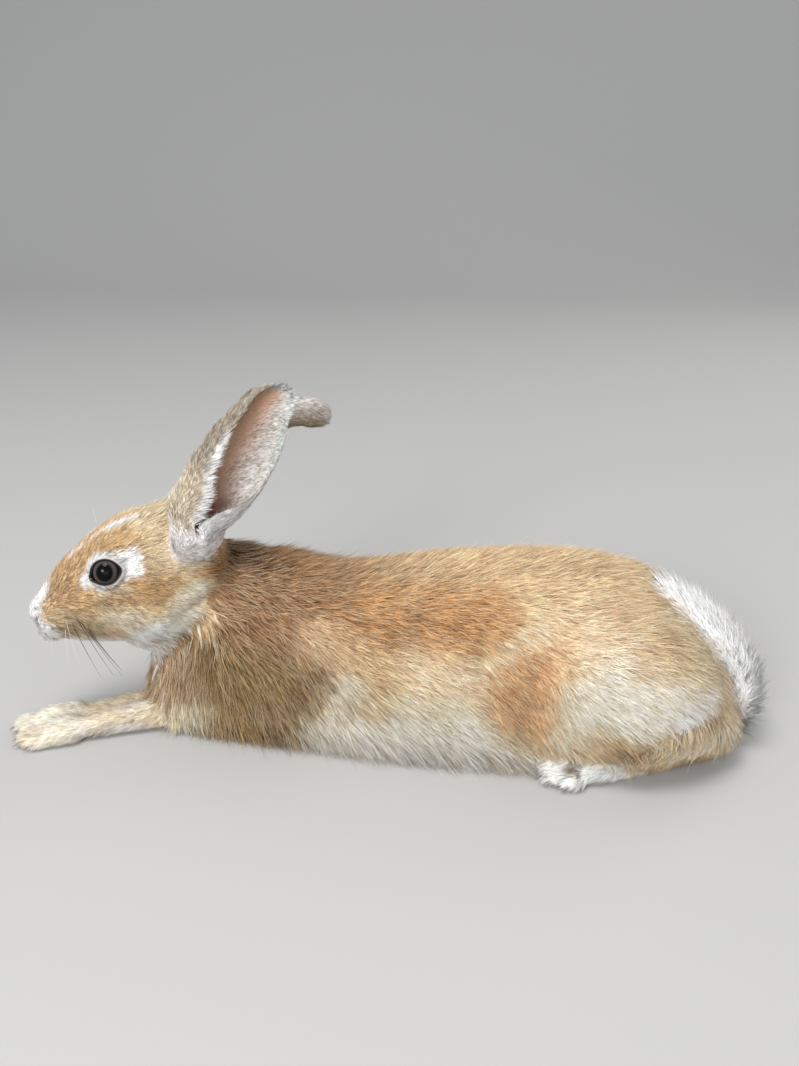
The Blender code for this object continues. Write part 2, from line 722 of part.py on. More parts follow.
def main():
    clear_scene()
    shapes = [make_trunk(), make_neck(), make_skull(), *head_bulges(), *shoulders()]
    for side in (-1, 1):
        shapes += hind_limb(side)
    body = sculpt(fuse(shapes, "body"))
    left_leg = foreleg("forepaw_left", LEFT_ARM, LEFT_PAW, LEFT_TOES, 22)
    right_leg = foreleg("forepaw_right", RIGHT_ARM, RIGHT_PAW, RIGHT_TOES, 26)
    pieces = {"forepaw_left": (left_leg, 300), "forepaw_right": (right_leg, 260)}

    def cut(name, wanted, *planes, whole=body):
        pieces[name] = (part_off(whole, name, *planes), wanted)
        return pieces[name][0]

    cut("forearm_left", 130, ((-155, -34, 0), (0.93, 0.36, 0)), whole=left_leg)
    cut("forearm_right", 130, ((-158, -21, 0), (0.93, 0.36, 0)), whole=right_leg)
    nape = HEAD_FRAME.to_3x3() @ Vector((-50, 0, 32.5))
    head = cut("head", 1700, (on_head((13, 0, 98)) / MM, nape))
    cut("neck", 300, ((-60, 0, 96), (-50, 0, 31)))
    for side in (-1, 1):
        word = "left" if side < 0 else "right"
        cut(f"hind_foot_{word}", 380, ((110, side * 21, 0), (0.40, side * 0.92, 0)),
            ((110, 0, 15), (0.05, 0, -1)))
        cut(f"haunch_{word}", 320, ((100, side * 24, 0), (0.1, side, 0)), ((50, 0, 0), (1, 0, 0.1)),
            ((152, 0, 0), (-1, 0, -0.3)), ((100, 0, 85), (0, 0, -1)))
        cut(f"shoulder_{word}", 220, ((-75, side * 20, 0), (0, side, 0)), ((-46, 0, 0), (-1, 0, 0.3)),
            ((-106, 0, 0), (1, 0, 0)), ((-75, 0, 60), (0, 0, -1)))
    cut("rump", 460, ((66, 0, 0), (1, 0, 0)))
    cut("loin", 260, ((-10, 0, 0), (1, 0, 0)))
    body.name = "chest"
    pieces["chest"] = (body, 360)

    ears, ear_rooms = zip(*make_ears())
    tail = make_tail()
    for room in ear_rooms:
        for whole in (head, pieces["neck"][0]):
            boolean(whole, room, "DIFFERENCE")
            largest_piece(welded(whole))
    drop(*ear_rooms)
    for name in ("rump", "haunch_left", "haunch_right", "hind_foot_left", "hind_foot_right"):
        socket_in(pieces[name][0], tail, TAIL_ROOM)
    for name, (obj, wanted) in pieces.items():
        thin_out(largest_piece(obj), wanted)
    eyes = [eyeball("eye_left", -1, EYE_RADIUS), eyeball("eye_right", 1, EYE_RADIUS)]
    for side in (-1, 1):
        room = eyeball("socket", side, EYE_RADIUS + GAP)
        boolean(head, room, "DIFFERENCE")
        drop(room)
    for leg in ("forearm_left", "forearm_right"):
        for name in ("chest", "neck", "shoulder_left", "shoulder_right"):
            socket_in(pieces[leg][0], pieces[name][0])
    for left_name in ("forearm_left", "forepaw_left"):
        for right_name in ("forearm_right", "forepaw_right"):
            socket_in(pieces[right_name][0], pieces[left_name][0])
    give_claws(pieces["forepaw_left"][0], "forepaw_left", LEFT_TOES, 204, FORE_REACH)
    give_claws(pieces["forepaw_right"][0], "forepaw_right", RIGHT_TOES, 206, FORE_REACH)
    give_claws(pieces["hind_foot_left"][0], "hind_foot_left", HIND_TOES, 204, HIND_REACH)
    right_toes = [(x, -y, -turn) for x, y, turn in HIND_TOES]
    give_claws(pieces["hind_foot_right"][0], "hind_foot_right", right_toes, 156, HIND_REACH)

    for name, (obj, _) in pieces.items():
        pale = "paw" in name or "foot" in name
        dress(obj, *(("coat_cream", CREAM) if pale else ("coat_fawn", FAWN)))
    for obj in ears:
        dress(obj, "ear_coat", EAR_GREY)
    for obj in eyes:
        dress(obj, "eye_black", EYE_BLACK)
    dress(tail, "coat_white", WHITE)


main()
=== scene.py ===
"""A young fawn rabbit lying stretched out with its head up, as a life-size museum model: its looks.

Lengths are in metres, and in mm where a list or a name says so. -X is ahead, -Y is the animal's left and
Z is up from the floor that it lies on.
"""

import math

import bmesh
import bpy
import numpy as np
from mathutils import Matrix, Vector
from mathutils.bvhtree import BVHTree
from mathutils.kdtree import KDTree


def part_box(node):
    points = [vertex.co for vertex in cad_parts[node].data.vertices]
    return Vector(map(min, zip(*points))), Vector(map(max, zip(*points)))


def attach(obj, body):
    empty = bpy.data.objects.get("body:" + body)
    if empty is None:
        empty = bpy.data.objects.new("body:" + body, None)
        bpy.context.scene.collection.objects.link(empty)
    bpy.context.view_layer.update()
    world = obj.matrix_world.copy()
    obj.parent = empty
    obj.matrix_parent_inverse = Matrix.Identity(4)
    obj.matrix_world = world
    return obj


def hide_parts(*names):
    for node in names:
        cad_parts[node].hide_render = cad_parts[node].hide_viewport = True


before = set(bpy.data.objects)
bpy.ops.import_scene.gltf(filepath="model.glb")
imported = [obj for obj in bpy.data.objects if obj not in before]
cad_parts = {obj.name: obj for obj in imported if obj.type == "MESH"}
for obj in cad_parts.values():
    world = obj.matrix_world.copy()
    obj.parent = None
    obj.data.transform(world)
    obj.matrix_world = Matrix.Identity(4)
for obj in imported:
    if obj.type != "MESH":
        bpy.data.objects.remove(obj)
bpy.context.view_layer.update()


# ------------------------------------------------------------
# The skin of the trunk, head and legs. One hide with no seam lies under the whole coat, so it is drawn from
# the outline of the coat inwards by the coat's depth. The ears are joined to it further down.

MM = 0.001
SKIN_GRAIN = 1.15 * MM
SEAM_FILL = 0.5 * MM  # takes up the thin cuts between the parts of the body

flesh_nodes = [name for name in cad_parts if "claw" not in name and "eye" not in name]
hide_nodes = [name for name in flesh_nodes if not name.startswith("ear_")]


def numbers_of(items, field, width, kind=np.float32):
    found = np.zeros(len(items) * width, kind)
    items.foreach_get(field, found)
    return found.reshape(-1, width)


def points_of(mesh):
    return numbers_of(mesh.vertices, "co", 3).astype(float)


def normals_of(mesh):
    return numbers_of(mesh.vertices, "normal", 3).astype(float)


def edges_of(mesh):
    return numbers_of(mesh.edges, "vertices", 2, np.int32)


def triangles_of(mesh):
    mesh.calc_loop_triangles()
    return numbers_of(mesh.loop_triangles, "vertices", 3, np.int32)


def put(mesh, points):
    mesh.vertices.foreach_set("co", points.astype(np.float32).ravel())
    mesh.update()


def new_object(name, data):
    made = bpy.data.objects.new(name, data)
    bpy.context.scene.collection.objects.link(made)
    return made


def object_from(name, points, faces):
    mesh = bpy.data.meshes.new(name)
    mesh.from_pydata([tuple(p) for p in points], [], [tuple(f) for f in faces])
    mesh.update()
    return new_object(name, mesh)


def applied(obj):
    """Applies obj's modifiers to its mesh."""
    graph = bpy.context.evaluated_depsgraph_get()
    mesh = bpy.data.meshes.new_from_object(obj.evaluated_get(graph))
    obj.modifiers.clear()
    obj.data = mesh
    return obj


def relaxed(values, edges, rounds, weight):
    """Moves each row of values towards the mean of its neighbours' rows, by weight, in each round."""
    a, b = np.concatenate([edges, edges[:, ::-1]]).T
    count = np.bincount(a, minlength=len(values)).clip(1)[:, None]
    weight = np.broadcast_to(weight, len(values))[:, None]
    for _ in range(rounds):
        mean = np.stack([np.bincount(a, column, len(values)) for column in values[b].T], 1) / count
        values = values + (mean - values) * weight
    return values


def smooth(share):
    """Eases a share from 0 to 1."""
    share = np.clip(share, 0, 1)
    return share * share * (3 - 2 * share)


def fade(distance, radius):
    """1 at distance 0, falling smoothly to 0 at radius."""
    return smooth(1 - distance / radius)


def unit(vectors):
    return vectors / np.linalg.norm(vectors, axis=1).clip(1e-12)[:, None]


def left_half(places):
    """The places with those on the right mirrored to the left."""
    return np.stack([places[:, 0], -abs(places[:, 1]), places[:, 2]], 1)


def from_line(points, line_mm):
    """Distance from each point to a line through points given in mm."""
    line = np.array(line_mm, float) * MM
    if len(line) == 1:
        return np.linalg.norm(points - line[0], axis=1)
    best = np.full(len(points), np.inf)
    for start, end in zip(line[:-1], line[1:]):
        step = end - start
        t = np.clip((points - start) @ step / (step @ step), 0, 1)
        best = np.minimum(best, np.linalg.norm(points - start - t[:, None] * step, axis=1))
    return best


# The head is turned to its left: its own frame has x towards the neck, y to the right and z up, and the left
# eye lies at EYE_PLACE.
EYE_PLACE = Vector((-43.6, -14.6, 92.0)) * MM
EYE_RADIUS = 8.4 * MM
left_eye, right_eye = (sum(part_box(name), Vector()) / 2 for name in ("eye_left", "eye_right"))
head_turn = math.atan2(left_eye.x - right_eye.x, right_eye.y - left_eye.y)
HEAD = Matrix.Rotation(head_turn, 4, "Z")
HEAD.translation = (left_eye + right_eye) / 2 - HEAD.to_3x3() @ Vector((EYE_PLACE.x, 0, EYE_PLACE.z))
HEAD_AXES = np.array(HEAD.to_3x3())
HEAD_ORIGIN = np.array(HEAD.translation)


def in_head(points):
    return (points - HEAD_ORIGIN) @ HEAD_AXES


def out_of_head(points):
    return points @ HEAD_AXES.T + HEAD_ORIGIN


def outward(obj):
    """Turns each face of a closed mesh outwards."""
    bm = bmesh.new()
    bm.from_mesh(obj.data)
    bmesh.ops.recalc_face_normals(bm, faces=bm.faces)
    if bm.calc_volume(signed=True) < 0:
        bmesh.ops.reverse_faces(bm, faces=bm.faces)
    bm.to_mesh(obj.data)
    bm.free()
    return obj


WELD = 0.001 * MM


def welded_solid(name):
    """Points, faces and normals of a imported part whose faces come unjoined."""
    bm = bmesh.new()
    bm.from_mesh(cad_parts[name].data)
    bmesh.ops.remove_doubles(bm, verts=bm.verts, dist=WELD)
    bm.normal_update()
    points = np.array([v.co for v in bm.verts], float)
    facing = np.array([v.normal for v in bm.verts], float)
    faces = np.array([[v.index for v in f.verts] for f in bm.faces if len(f.verts) == 3])
    bm.free()
    return points, faces, facing


def joined(solids, grown):
    """Points and faces of several solids as one, each moved outwards by grown."""
    points, faces, count = [], [], 0
    for some_points, some_faces, facing in solids:
        points.append(some_points + facing * grown)
        faces.append(some_faces + count)
        count += len(some_points)
    return np.concatenate(points), np.concatenate(faces)


EAR_RING = 30  # points along one face of a cross section
EAR_THICK_MM = 1.5
PLUG_RINGS = 11  # cross sections that the filled root of the ear takes in
EAR_SPLINE_STEPS = 6  # cross sections drawn for each one listed
EAR_FACES = (0.25, -0.9, 0.35)  # where the left ear's cup opens, in the head's frame
# In the head's frame and mm: the back of the cup, where it opens, half its width and depth, and degrees round
# from the back to its front and rear edges
EAR_SECTIONS = {
    "ear_left": [
        ((-5, -12, 96), EAR_FACES, 10, 6.5, 177, 177),
        ((-5, -13, 104), EAR_FACES, 11.5, 8, 177, 177),
        ((-4, -14, 110), EAR_FACES, 13, 8.5, 176, 177),
        ((-3, -14.5, 114.5), EAR_FACES, 12.8, 8.6, 173, 178),
        ((0.5, -15, 119.5), EAR_FACES, 13.9, 8.8, 168, 176),
        ((6, -15.8, 127), EAR_FACES, 15.6, 8.8, 163, 152),
        ((11, -16.8, 134), EAR_FACES, 16.7, 8.4, 150, 118),
        ((16, -18, 141), EAR_FACES, 17, 7.8, 141, 101),
        ((24, -21, 153.5), EAR_FACES, 16, 6.6, 134, 94),
        ((31, -24.5, 164.5), EAR_FACES, 12.6, 5, 134, 88),
        ((36.6, -27, 171.4), EAR_FACES, 9.2, 3.5, 120, 80),
        ((39.3, -28.2, 175.0), EAR_FACES, 5.6, 2.1, 105, 78),
        ((40.1, -28.5, 176.2), EAR_FACES, 3.2, 1.2, 95, 75),
    ],
    "ear_right": [
        ((-4, 12, 96), (0.25, 0.9, 0.35), 10, 6.5, 177, 177),
        ((-1, 13, 104), (0.25, 0.9, 0.35), 11.5, 8, 177, 177),
        ((6, 15, 111), (0.25, 0.9, 0.35), 12.5, 8, 177, 174),
        ((12, 17, 117.5), (0.25, 0.9, 0.35), 13.2, 8, 172, 168),
        ((19, 19, 125), (0.25, 0.9, 0.35), 14, 8, 146, 164),
        ((26, 20, 131), (0.2, 0.9, 0.35), 14.5, 7.8, 112, 160),
        ((38, 23, 139.3), (0.15, 0.9, 0.35), 12.6, 6.8, 97, 148),
        ((50, 26, 145.6), (0.1, 0.9, 0.35), 9.2, 5, 93, 136),
        ((60, 28, 146.6), (0.1, 0.9, 0.35), 7.7, 4, 91, 126),
        ((68.5, 29.4, 145), (0.1, 0.9, 0.35), 7.8, 3.5, 90, 118),
        ((72.8, 30, 143.6), (0.1, 0.9, 0.35), 5.8, 2.4, 88, 104),
        ((74.5, 30.3, 143), (0.1, 0.9, 0.35), 3.2, 1.3, 85, 95),
    ],
}


def smooth_rows(rows, steps):
    """Rows of numbers, with steps - 1 more between each two on a Catmull-Rom curve."""
    rows = np.array(rows, float)
    padded = np.vstack([2 * rows[0] - rows[1], rows, 2 * rows[-1] - rows[-2]])
    made = []
    for i in range(1, len(rows)):
        p0, p1, p2, p3 = padded[i - 1 : i + 3]
        for t in np.arange(steps) / steps:
            made.append(0.5 * (2 * p1 + (p2 - p0) * t + (2 * p0 - 5 * p1 + 4 * p2 - p3) * t**2
                               + (3 * p1 - p0 - 3 * p2 + p3) * t**3))
    return np.array(made + [rows[-1]])


def ear_rings(name):
    """Rings of points in the head's frame, outer face first, and each point's (share of the ear's length,
    place from front edge -1 to rear edge 1, 1 outside or -1 inside)."""
    rows = smooth_rows([(*back, *faces, *sizes) for back, faces, *sizes in EAR_SECTIONS[name]],
                       EAR_SPLINE_STEPS)
    rings, tags = [], []
    for i, row in enumerate(rows):
        axis = Vector(rows[min(i + 1, len(rows) - 1)][:3] - rows[max(i - 1, 0)][:3]).normalized()
        mouth = Vector(row[3:6])
        mouth = (mouth - axis * mouth.dot(axis)).normalized()
        side = axis.cross(mouth)
        wide, deep, front, rear = row[6:10]
        thick = EAR_THICK_MM * (1 - 0.45 * i / len(rows))
        place = np.sin(np.linspace(-1, 1, EAR_RING) * math.pi / 2)
        angles = np.radians(np.interp(place, [-1, 1], [-front, rear]))
        ring = []
        for outer in (1, -1):
            for where, angle in zip(place[::outer], angles[::outer]):
                more = outer * thick / 2 * math.sqrt(max(0.02, 1 - where**8))
                ring.append(Vector(row[:3]) + mouth * (deep - (deep + more) * math.cos(angle))
                            + side * ((wide + more) * math.sin(angle)))
                tags.append((i / (len(rows) - 1), where, outer))
        rings.append(np.array(ring) * MM)
    return np.array(rings), np.array(tags)


def ring_faces(rings_count, ring, folded=False):
    """Faces of a closed tube of rings. A folded one is a strip whose ends are closed by bands across it."""
    faces = []
    for row in range(rings_count - 1):
        for k in range(ring):
            a, b = row * ring + k, row * ring + (k + 1) % ring
            faces.append((a, b, b + ring, a + ring))
    for row in (0, rings_count - 1):
        start = row * ring
        if folded:
            faces += [(start + k, start + k + 1, start + ring - 2 - k, start + ring - 1 - k)
                      for k in range(ring // 2 - 1)]
        else:
            faces.append(tuple(start + k for k in range(ring)))
    return faces


def tube(name, rings, folded=False):
    """A closed tube through rings of points in the head's frame."""
    return outward(object_from(name, out_of_head(rings.reshape(-1, 3)), ring_faces(*rings.shape[:2], folded)))


def plug_of(name):
    """The closed cone of gristle that an ear stands on, as points, triangles and normals."""
    rings, _ = ear_rings(name)
    cone = tube("cone", rings[:PLUG_RINGS, :EAR_RING])
    found = points_of(cone.data), triangles_of(cone.data), normals_of(cone.data)
    bpy.data.objects.remove(cone)
    return found


# Fused with the eyeballs and the roots of the ears into one closed surface
hide_solids = {name: welded_solid(name) for name in hide_nodes}
eye_solids = [welded_solid(name) for name in ("eye_left", "eye_right")]
ear_plugs = [plug_of(name) for name in EAR_SECTIONS]
skin = object_from("skin", *joined([*hide_solids.values(), *eye_solids, *ear_plugs], SEAM_FILL))
fused = skin.modifiers.new("fused", "REMESH")
fused.mode = "VOXEL"
fused.voxel_size = SKIN_GRAIN
applied(skin)

# Which part of the body each place belongs to
solids = {**hide_solids, **{name: welded_solid(name) for name in flesh_nodes if name not in hide_solids}}
part_names = list(solids)
map_points, map_faces = joined(list(solids.values()), 0)
face_part = np.repeat(np.arange(len(part_names)), [len(faces) for _, faces, _ in solids.values()])
body_map = BVHTree.FromPolygons(map_points.tolist(), map_faces.tolist())


def parts_at(points):
    return np.array([face_part[body_map.find_nearest(p)[2]] for p in points.tolist()])


def by_part(part, table, other=None):
    """A value for each place, from a table by the start of the part's name."""
    found = [next((v for key, v in table.items() if name.startswith(key)), other) for name in part_names]
    return np.array(found, float)[part]


COAT_DEPTH_MM = {"head": 1.7, "neck": 3.0, "hind_foot": 1.6, "forearm": 1.4, "forepaw": 1.2, "tail": 4.2,
                 "shoulder": 2.6, "chest": 2.6, "loin": 2.4, "rump": 2.4, "haunch": 2.4}
points = points_of(skin.data)
edges = edges_of(skin.data)
part = parts_at(points)
soft = by_part(part, {"head": 0.35, "hind_foot": 0.3, "forepaw": 0.3, "forearm": 0.9, "tail": 0.5}, 1.0)
soft = relaxed(soft[:, None], edges, 6, 0.5)[:, 0]
muzzle = fade(from_line(in_head(points), [(-80, 0, 64)]), 30 * MM)
points = relaxed(points, edges, 24, 0.5 * soft * (1 - 0.75 * muzzle))
put(skin.data, points)
depth = by_part(part, COAT_DEPTH_MM, 2.5) * MM * (1 - 0.75 * muzzle)
depth = relaxed(depth[:, None], edges, 14, 0.5)[:, 0]
points = points - normals_of(skin.data) * depth[:, None]
points = relaxed(points, edges, 3, 0.4)
forehead = from_line(in_head(points), [(-60, 0, 96), (-46, 0, 105), (-32, 0, 113)])
points = relaxed(points, edges, 20, 0.6 * fade(forehead, 13 * MM))

# Folds of the hide on the left side, mirrored: line, half width and depth, in mm
HEAD_FOLDS = [
    ([(12, -21, 84), (4, -24, 79), (-6, -25, 73), (-16, -26, 67), (-26, -20, 55)], 6, 1.3),  # behind the jaw
    ([(-56, -17, 84), (-62, -13, 80)], 4, 0.7),  # tear line
]
BODY_FOLDS = [
    ([(79, -46, 13), (97, -53, 20), (110, -55, 25), (122, -55, 33), (134, -52, 38), (146, -44, 40),
      (158, -28, 33)], 5, 2.4),  # thigh over the foot and hock
    ([(28, -39, 60), (42, -37, 67), (56, -34, 74)], 9, -1.0),  # ridge over the flank
    ([(38, -40, 62), (43, -45, 40), (52, -44, 20)], 9, 1.6),  # flank against thigh
    ([(-86, -34, 42), (-80, -34, 26), (-66, -35, 14)], 8, 1.6),  # shoulder against the foreleg
    ([(-60, -32, 54), (-40, -36, 40), (-26, -38, 26)], 9, 1.2),  # behind the shoulder
]


def fold_depth(places, folds):
    places = left_half(places)
    return sum(fade(from_line(places, line), half * MM) * depth * MM for line, half, depth in folds)


push = fold_depth(in_head(points), HEAD_FOLDS) + fold_depth(points, BODY_FOLDS)
put(skin.data, points)
points = points - normals_of(skin.data) * push[:, None]
put(skin.data, points)


def refine(obj, centre, radius):
    """Splits each face near centre in four."""
    bm = bmesh.new()
    bm.from_mesh(obj.data)
    near = [f for f in bm.faces if (f.calc_center_median() - centre).length < radius]
    rim = list({edge for face in near for edge in face.edges})
    bmesh.ops.subdivide_edges(bm, edges=rim, cuts=1, use_grid_fill=True, smooth=0)
    bmesh.ops.triangulate(bm, faces=[f for f in bm.faces if len(f.verts) > 4])
    bm.to_mesh(obj.data)
    bm.free()


muzzle_middle = HEAD @ (Vector((-76, 0, 66)) * MM)
for centre, first_radius in ((left_eye, 17 * MM), (right_eye, 17 * MM), (muzzle_middle, 19 * MM)):
    refine(skin, centre, first_radius)
    refine(skin, centre, 14 * MM)

# Nostril, cleft of the lip, the notch under it and the mouth: line in the head's frame, half width and depth,
# in mm. Both sides are alike.
FACE_GROOVES = [
    ([(-77.6, 4.6, 72.2), (-80.0, 3.2, 71.0), (-81.2, 1.4, 68.6)], 1.7, 1.5),
    ([(-81.5, 0, 68.5), (-81, 0, 66)], 1.2, 0.7),
    ([(-79, 0, 61.8), (-77, 4.0, 61.4)], 1.7, 1.8),
    ([(-78.5, 0.6, 61.8), (-77, 4.6, 59.4), (-73.4, 7.0, 55.6), (-66, 9.0, 53.4)], 1.6, 1.4),
]
points = points_of(skin.data)
edges = edges_of(skin.data)
facing = normals_of(skin.data)
head = in_head(points)
folded = left_half(head) * (1, -1, 1)
push = np.zeros(len(points))
for line, half_width, groove_depth in FACE_GROOVES:
    push = np.minimum(push, -fade(from_line(folded, line), half_width * MM) * groove_depth * MM)
nose_front = [(-80, 0, 68), (-78.5, 0, 64.5)]  # rounded forward, below the nostrils
push = push + fade(from_line(folded, nose_front), 5.5 * MM) * 1.4 * MM
points = points + facing * push[:, None]


# Lids: the opening is an almond on the eyeball, drawn out to a corner low in front
EYE_AXIS = (-0.22, -0.96, 0.31)


def eye_centre(side):
    return np.array(EYE_PLACE) * (1, -side, 1)


def eye_angles(points, side):
    """Polar angle from the eye's axis, angle round it from ahead through up, and distance from its centre."""
    axis = np.array(EYE_AXIS) * (1, -side, 1)
    axis = axis / np.linalg.norm(axis)
    up = np.array([0, 0, 1]) - axis * axis[2]
    up = up / np.linalg.norm(up)
    ahead = np.cross(up, axis) * side
    away = in_head(points) - eye_centre(side)
    distance = np.linalg.norm(away, axis=1)
    polar = np.arccos(np.clip(away @ axis / distance.clip(1e-9), -1, 1))
    return polar, np.arctan2(away @ up, away @ ahead), distance


LID_LONG, LID_HIGH = 43.5, 39  # half the opening's length and height, as polar angles in degrees
FRONT_DRAWN, REAR_DRAWN = 15, 7  # how many degrees further its corners are drawn out


def lid_edge(turn):
    """Polar angle of the edge of the opening, in radians, at an angle round the eye's axis."""
    oval = 1 / np.sqrt((np.cos(turn) / LID_LONG) ** 2 + (np.sin(turn) / LID_HIGH) ** 2)
    from_front, from_rear = (np.angle(np.exp(1j * away)) for away in (turn + 0.42, turn - math.pi + 0.1))
    front_corner = FRONT_DRAWN * np.exp(-((from_front / 0.33) ** 2))
    rear_corner = REAR_DRAWN * np.exp(-((from_rear / 0.4) ** 2))
    return np.radians(oval + front_corner + rear_corner)


LID_WIDTH, LID_RISE = 6.5 * MM, 0.85 * MM
LID_RIDGE, RIDGE_FROM_EDGE, RIDGE_WIDTH = 0.35 * MM, 1.0 * MM, 0.9 * MM
UNDER_EYE = 1.6 * MM  # how deep the skin passes under the eyeball's surface
for side in (-1, 1):
    polar, turn, distance = eye_angles(points, side)
    beyond = (polar - lid_edge(turn)) * EYE_RADIUS
    lid = EYE_RADIUS + LID_RISE
    ridge = LID_RIDGE * np.exp(-(((beyond - RIDGE_FROM_EDGE) / RIDGE_WIDTH) ** 2))
    target = lid + ridge + (np.maximum(distance, EYE_RADIUS + 0.9 * MM) - lid) * smooth(beyond / LID_WIDTH)
    sunk = EYE_RADIUS - UNDER_EYE
    inner = np.clip(beyond / (0.5 * MM) + 1, 0, 1)
    target = sunk + (target - sunk) * inner
    mine = (distance < EYE_RADIUS + 8 * MM) & (polar < 1.9)
    centre = out_of_head(eye_centre(side)[None])[0]
    moved = centre + (points - centre) * (target / distance)[:, None]
    points = np.where(mine[:, None], moved, points)
points[:, 2] = np.maximum(points[:, 2], 0.2 * MM)  # clear of the floor
put(skin.data, points)


# ------------------------------------------------------------
# The ears: thin cups of skin over cartilage, rolled into a tube at the root. Each is lofted through cross
# sections, with its hollow cut down into the head, and its skin runs into the head's with no seam.

def circle(axis, side, count):
    """Points round the axis, the first of them on side."""
    return np.array([Matrix.Rotation(k * 2 * math.pi / count, 3, axis) @ side for k in range(count)])


def combine(obj, other, operation):
    """Joins other to obj, or cuts it out, and removes it."""
    step = obj.modifiers.new("step", "BOOLEAN")
    step.operation = operation
    step.solver = "MANIFOLD"
    step.object = other
    applied(obj)
    bpy.data.objects.remove(other)


HOLLOW_RINGS = (11, 40)  # cross sections that the hollow is cut through, from just under the head's surface
SEAL_RINGS = (4, 18)  # below the opening the two edges are grown together
SEAL_RADIUS, SEAL_SIDES = 2.3 * MM, 12
FACE_APART = 1.5 * MM
ear_maps = {}
for name in EAR_SECTIONS:
    rings, tags = ear_rings(name)
    shell = tube(name + "_shell", rings, folded=True)
    # The hollow: the inner face closed across its mouth
    combine(skin, tube("hollow", rings[slice(*HOLLOW_RINGS), EAR_RING:]), "DIFFERENCE")
    tree = KDTree(len(shell.data.vertices))
    for index, vertex in enumerate(shell.data.vertices):  # moved so that the thin ear's two faces lie apart
        tree.insert(vertex.co + vertex.normal * FACE_APART, index)
    tree.balance()
    ear_maps[name] = (tree, tags, points_of(shell.data))
    combine(skin, shell, "UNION")
    edge_line = (rings[:, 0] + rings[:, EAR_RING - 1]) / 2
    seal = []
    for row in range(*SEAL_RINGS):
        ahead = Vector(edge_line[row + 1] - edge_line[row]).normalized()
        side = ahead.orthogonal().normalized()
        size = SEAL_RADIUS * (0.4 if row in (SEAL_RINGS[0], SEAL_RINGS[1] - 1) else 1)
        seal.append(edge_line[row] + circle(ahead, side, SEAL_SIDES) * size)
    combine(skin, tube("seal", np.array(seal)), "UNION")

# The skin runs on from the head over the root of each ear, and over the wrists
points = points_of(skin.data)
edges = edges_of(skin.data)
for name in EAR_SECTIONS:
    root = np.array([sum(EAR_SECTIONS[name][k][0][axis] for k in (1, 2)) / 2 for axis in range(3)]) * MM
    root[1] += 6 * MM * np.sign(root[1])
    near = fade(np.linalg.norm((in_head(points) - root) * (1, 1, 1.1), axis=1), 25 * MM)
    points = relaxed(points, edges, 16, 0.7 * near)
for wrist in ([(-146, -30, 7), (-160, -38, 7)], [(-148, -16, 7), (-162, -22, 7)]):
    points = relaxed(points, edges, 30, 0.6 * fade(from_line(points, wrist), 13 * MM))
put(skin.data, points)


# ------------------------------------------------------------
# The markings: a fawn coat ticked with cream, white below and on the feet, a white blaze and rings round the
# eyes. Skin and coat both take their colour from here, as soft strokes laid over each other. A few strokes
# are painted shade in creases and gaps and painted light on ridges and tops, as noted where they stand.

HUES = {  # sRGB
    "white": (250, 249, 246), "ivory": (247, 237, 212), "cream": (238, 216, 182), "sand": (218, 189, 153),
    "buff": (206, 177, 140), "fawn": (192, 154, 114), "drab": (162, 133, 102), "umber": (139, 116, 87),
    "ear_gold": (186, 173, 153), "ear_light": (216, 204, 195), "ear_shade": (150, 141, 127),
    "ear_tip": (180, 184, 178), "ear_rim": (206, 208, 202), "ear_tan": (154, 122, 96),
    "ear_pink": (184, 146, 128), "ear_red": (150, 70, 62), "ear_white": (232, 226, 226),
    "ear_hair": (206, 198, 190), "lid": (40, 31, 29), "halo": (196, 184, 180), "lip_and_crease_shade": (126, 100, 84),
}
PART_HUES = {
    "head": "fawn", "neck": "drab", "chest": "buff", "shoulder": "umber", "loin": "buff", "rump": "sand",
    "haunch": "sand", "hind_foot": "ivory", "forearm": "cream", "forepaw": "ivory", "tail": "white",
    "ear_": "ear_gold",
}
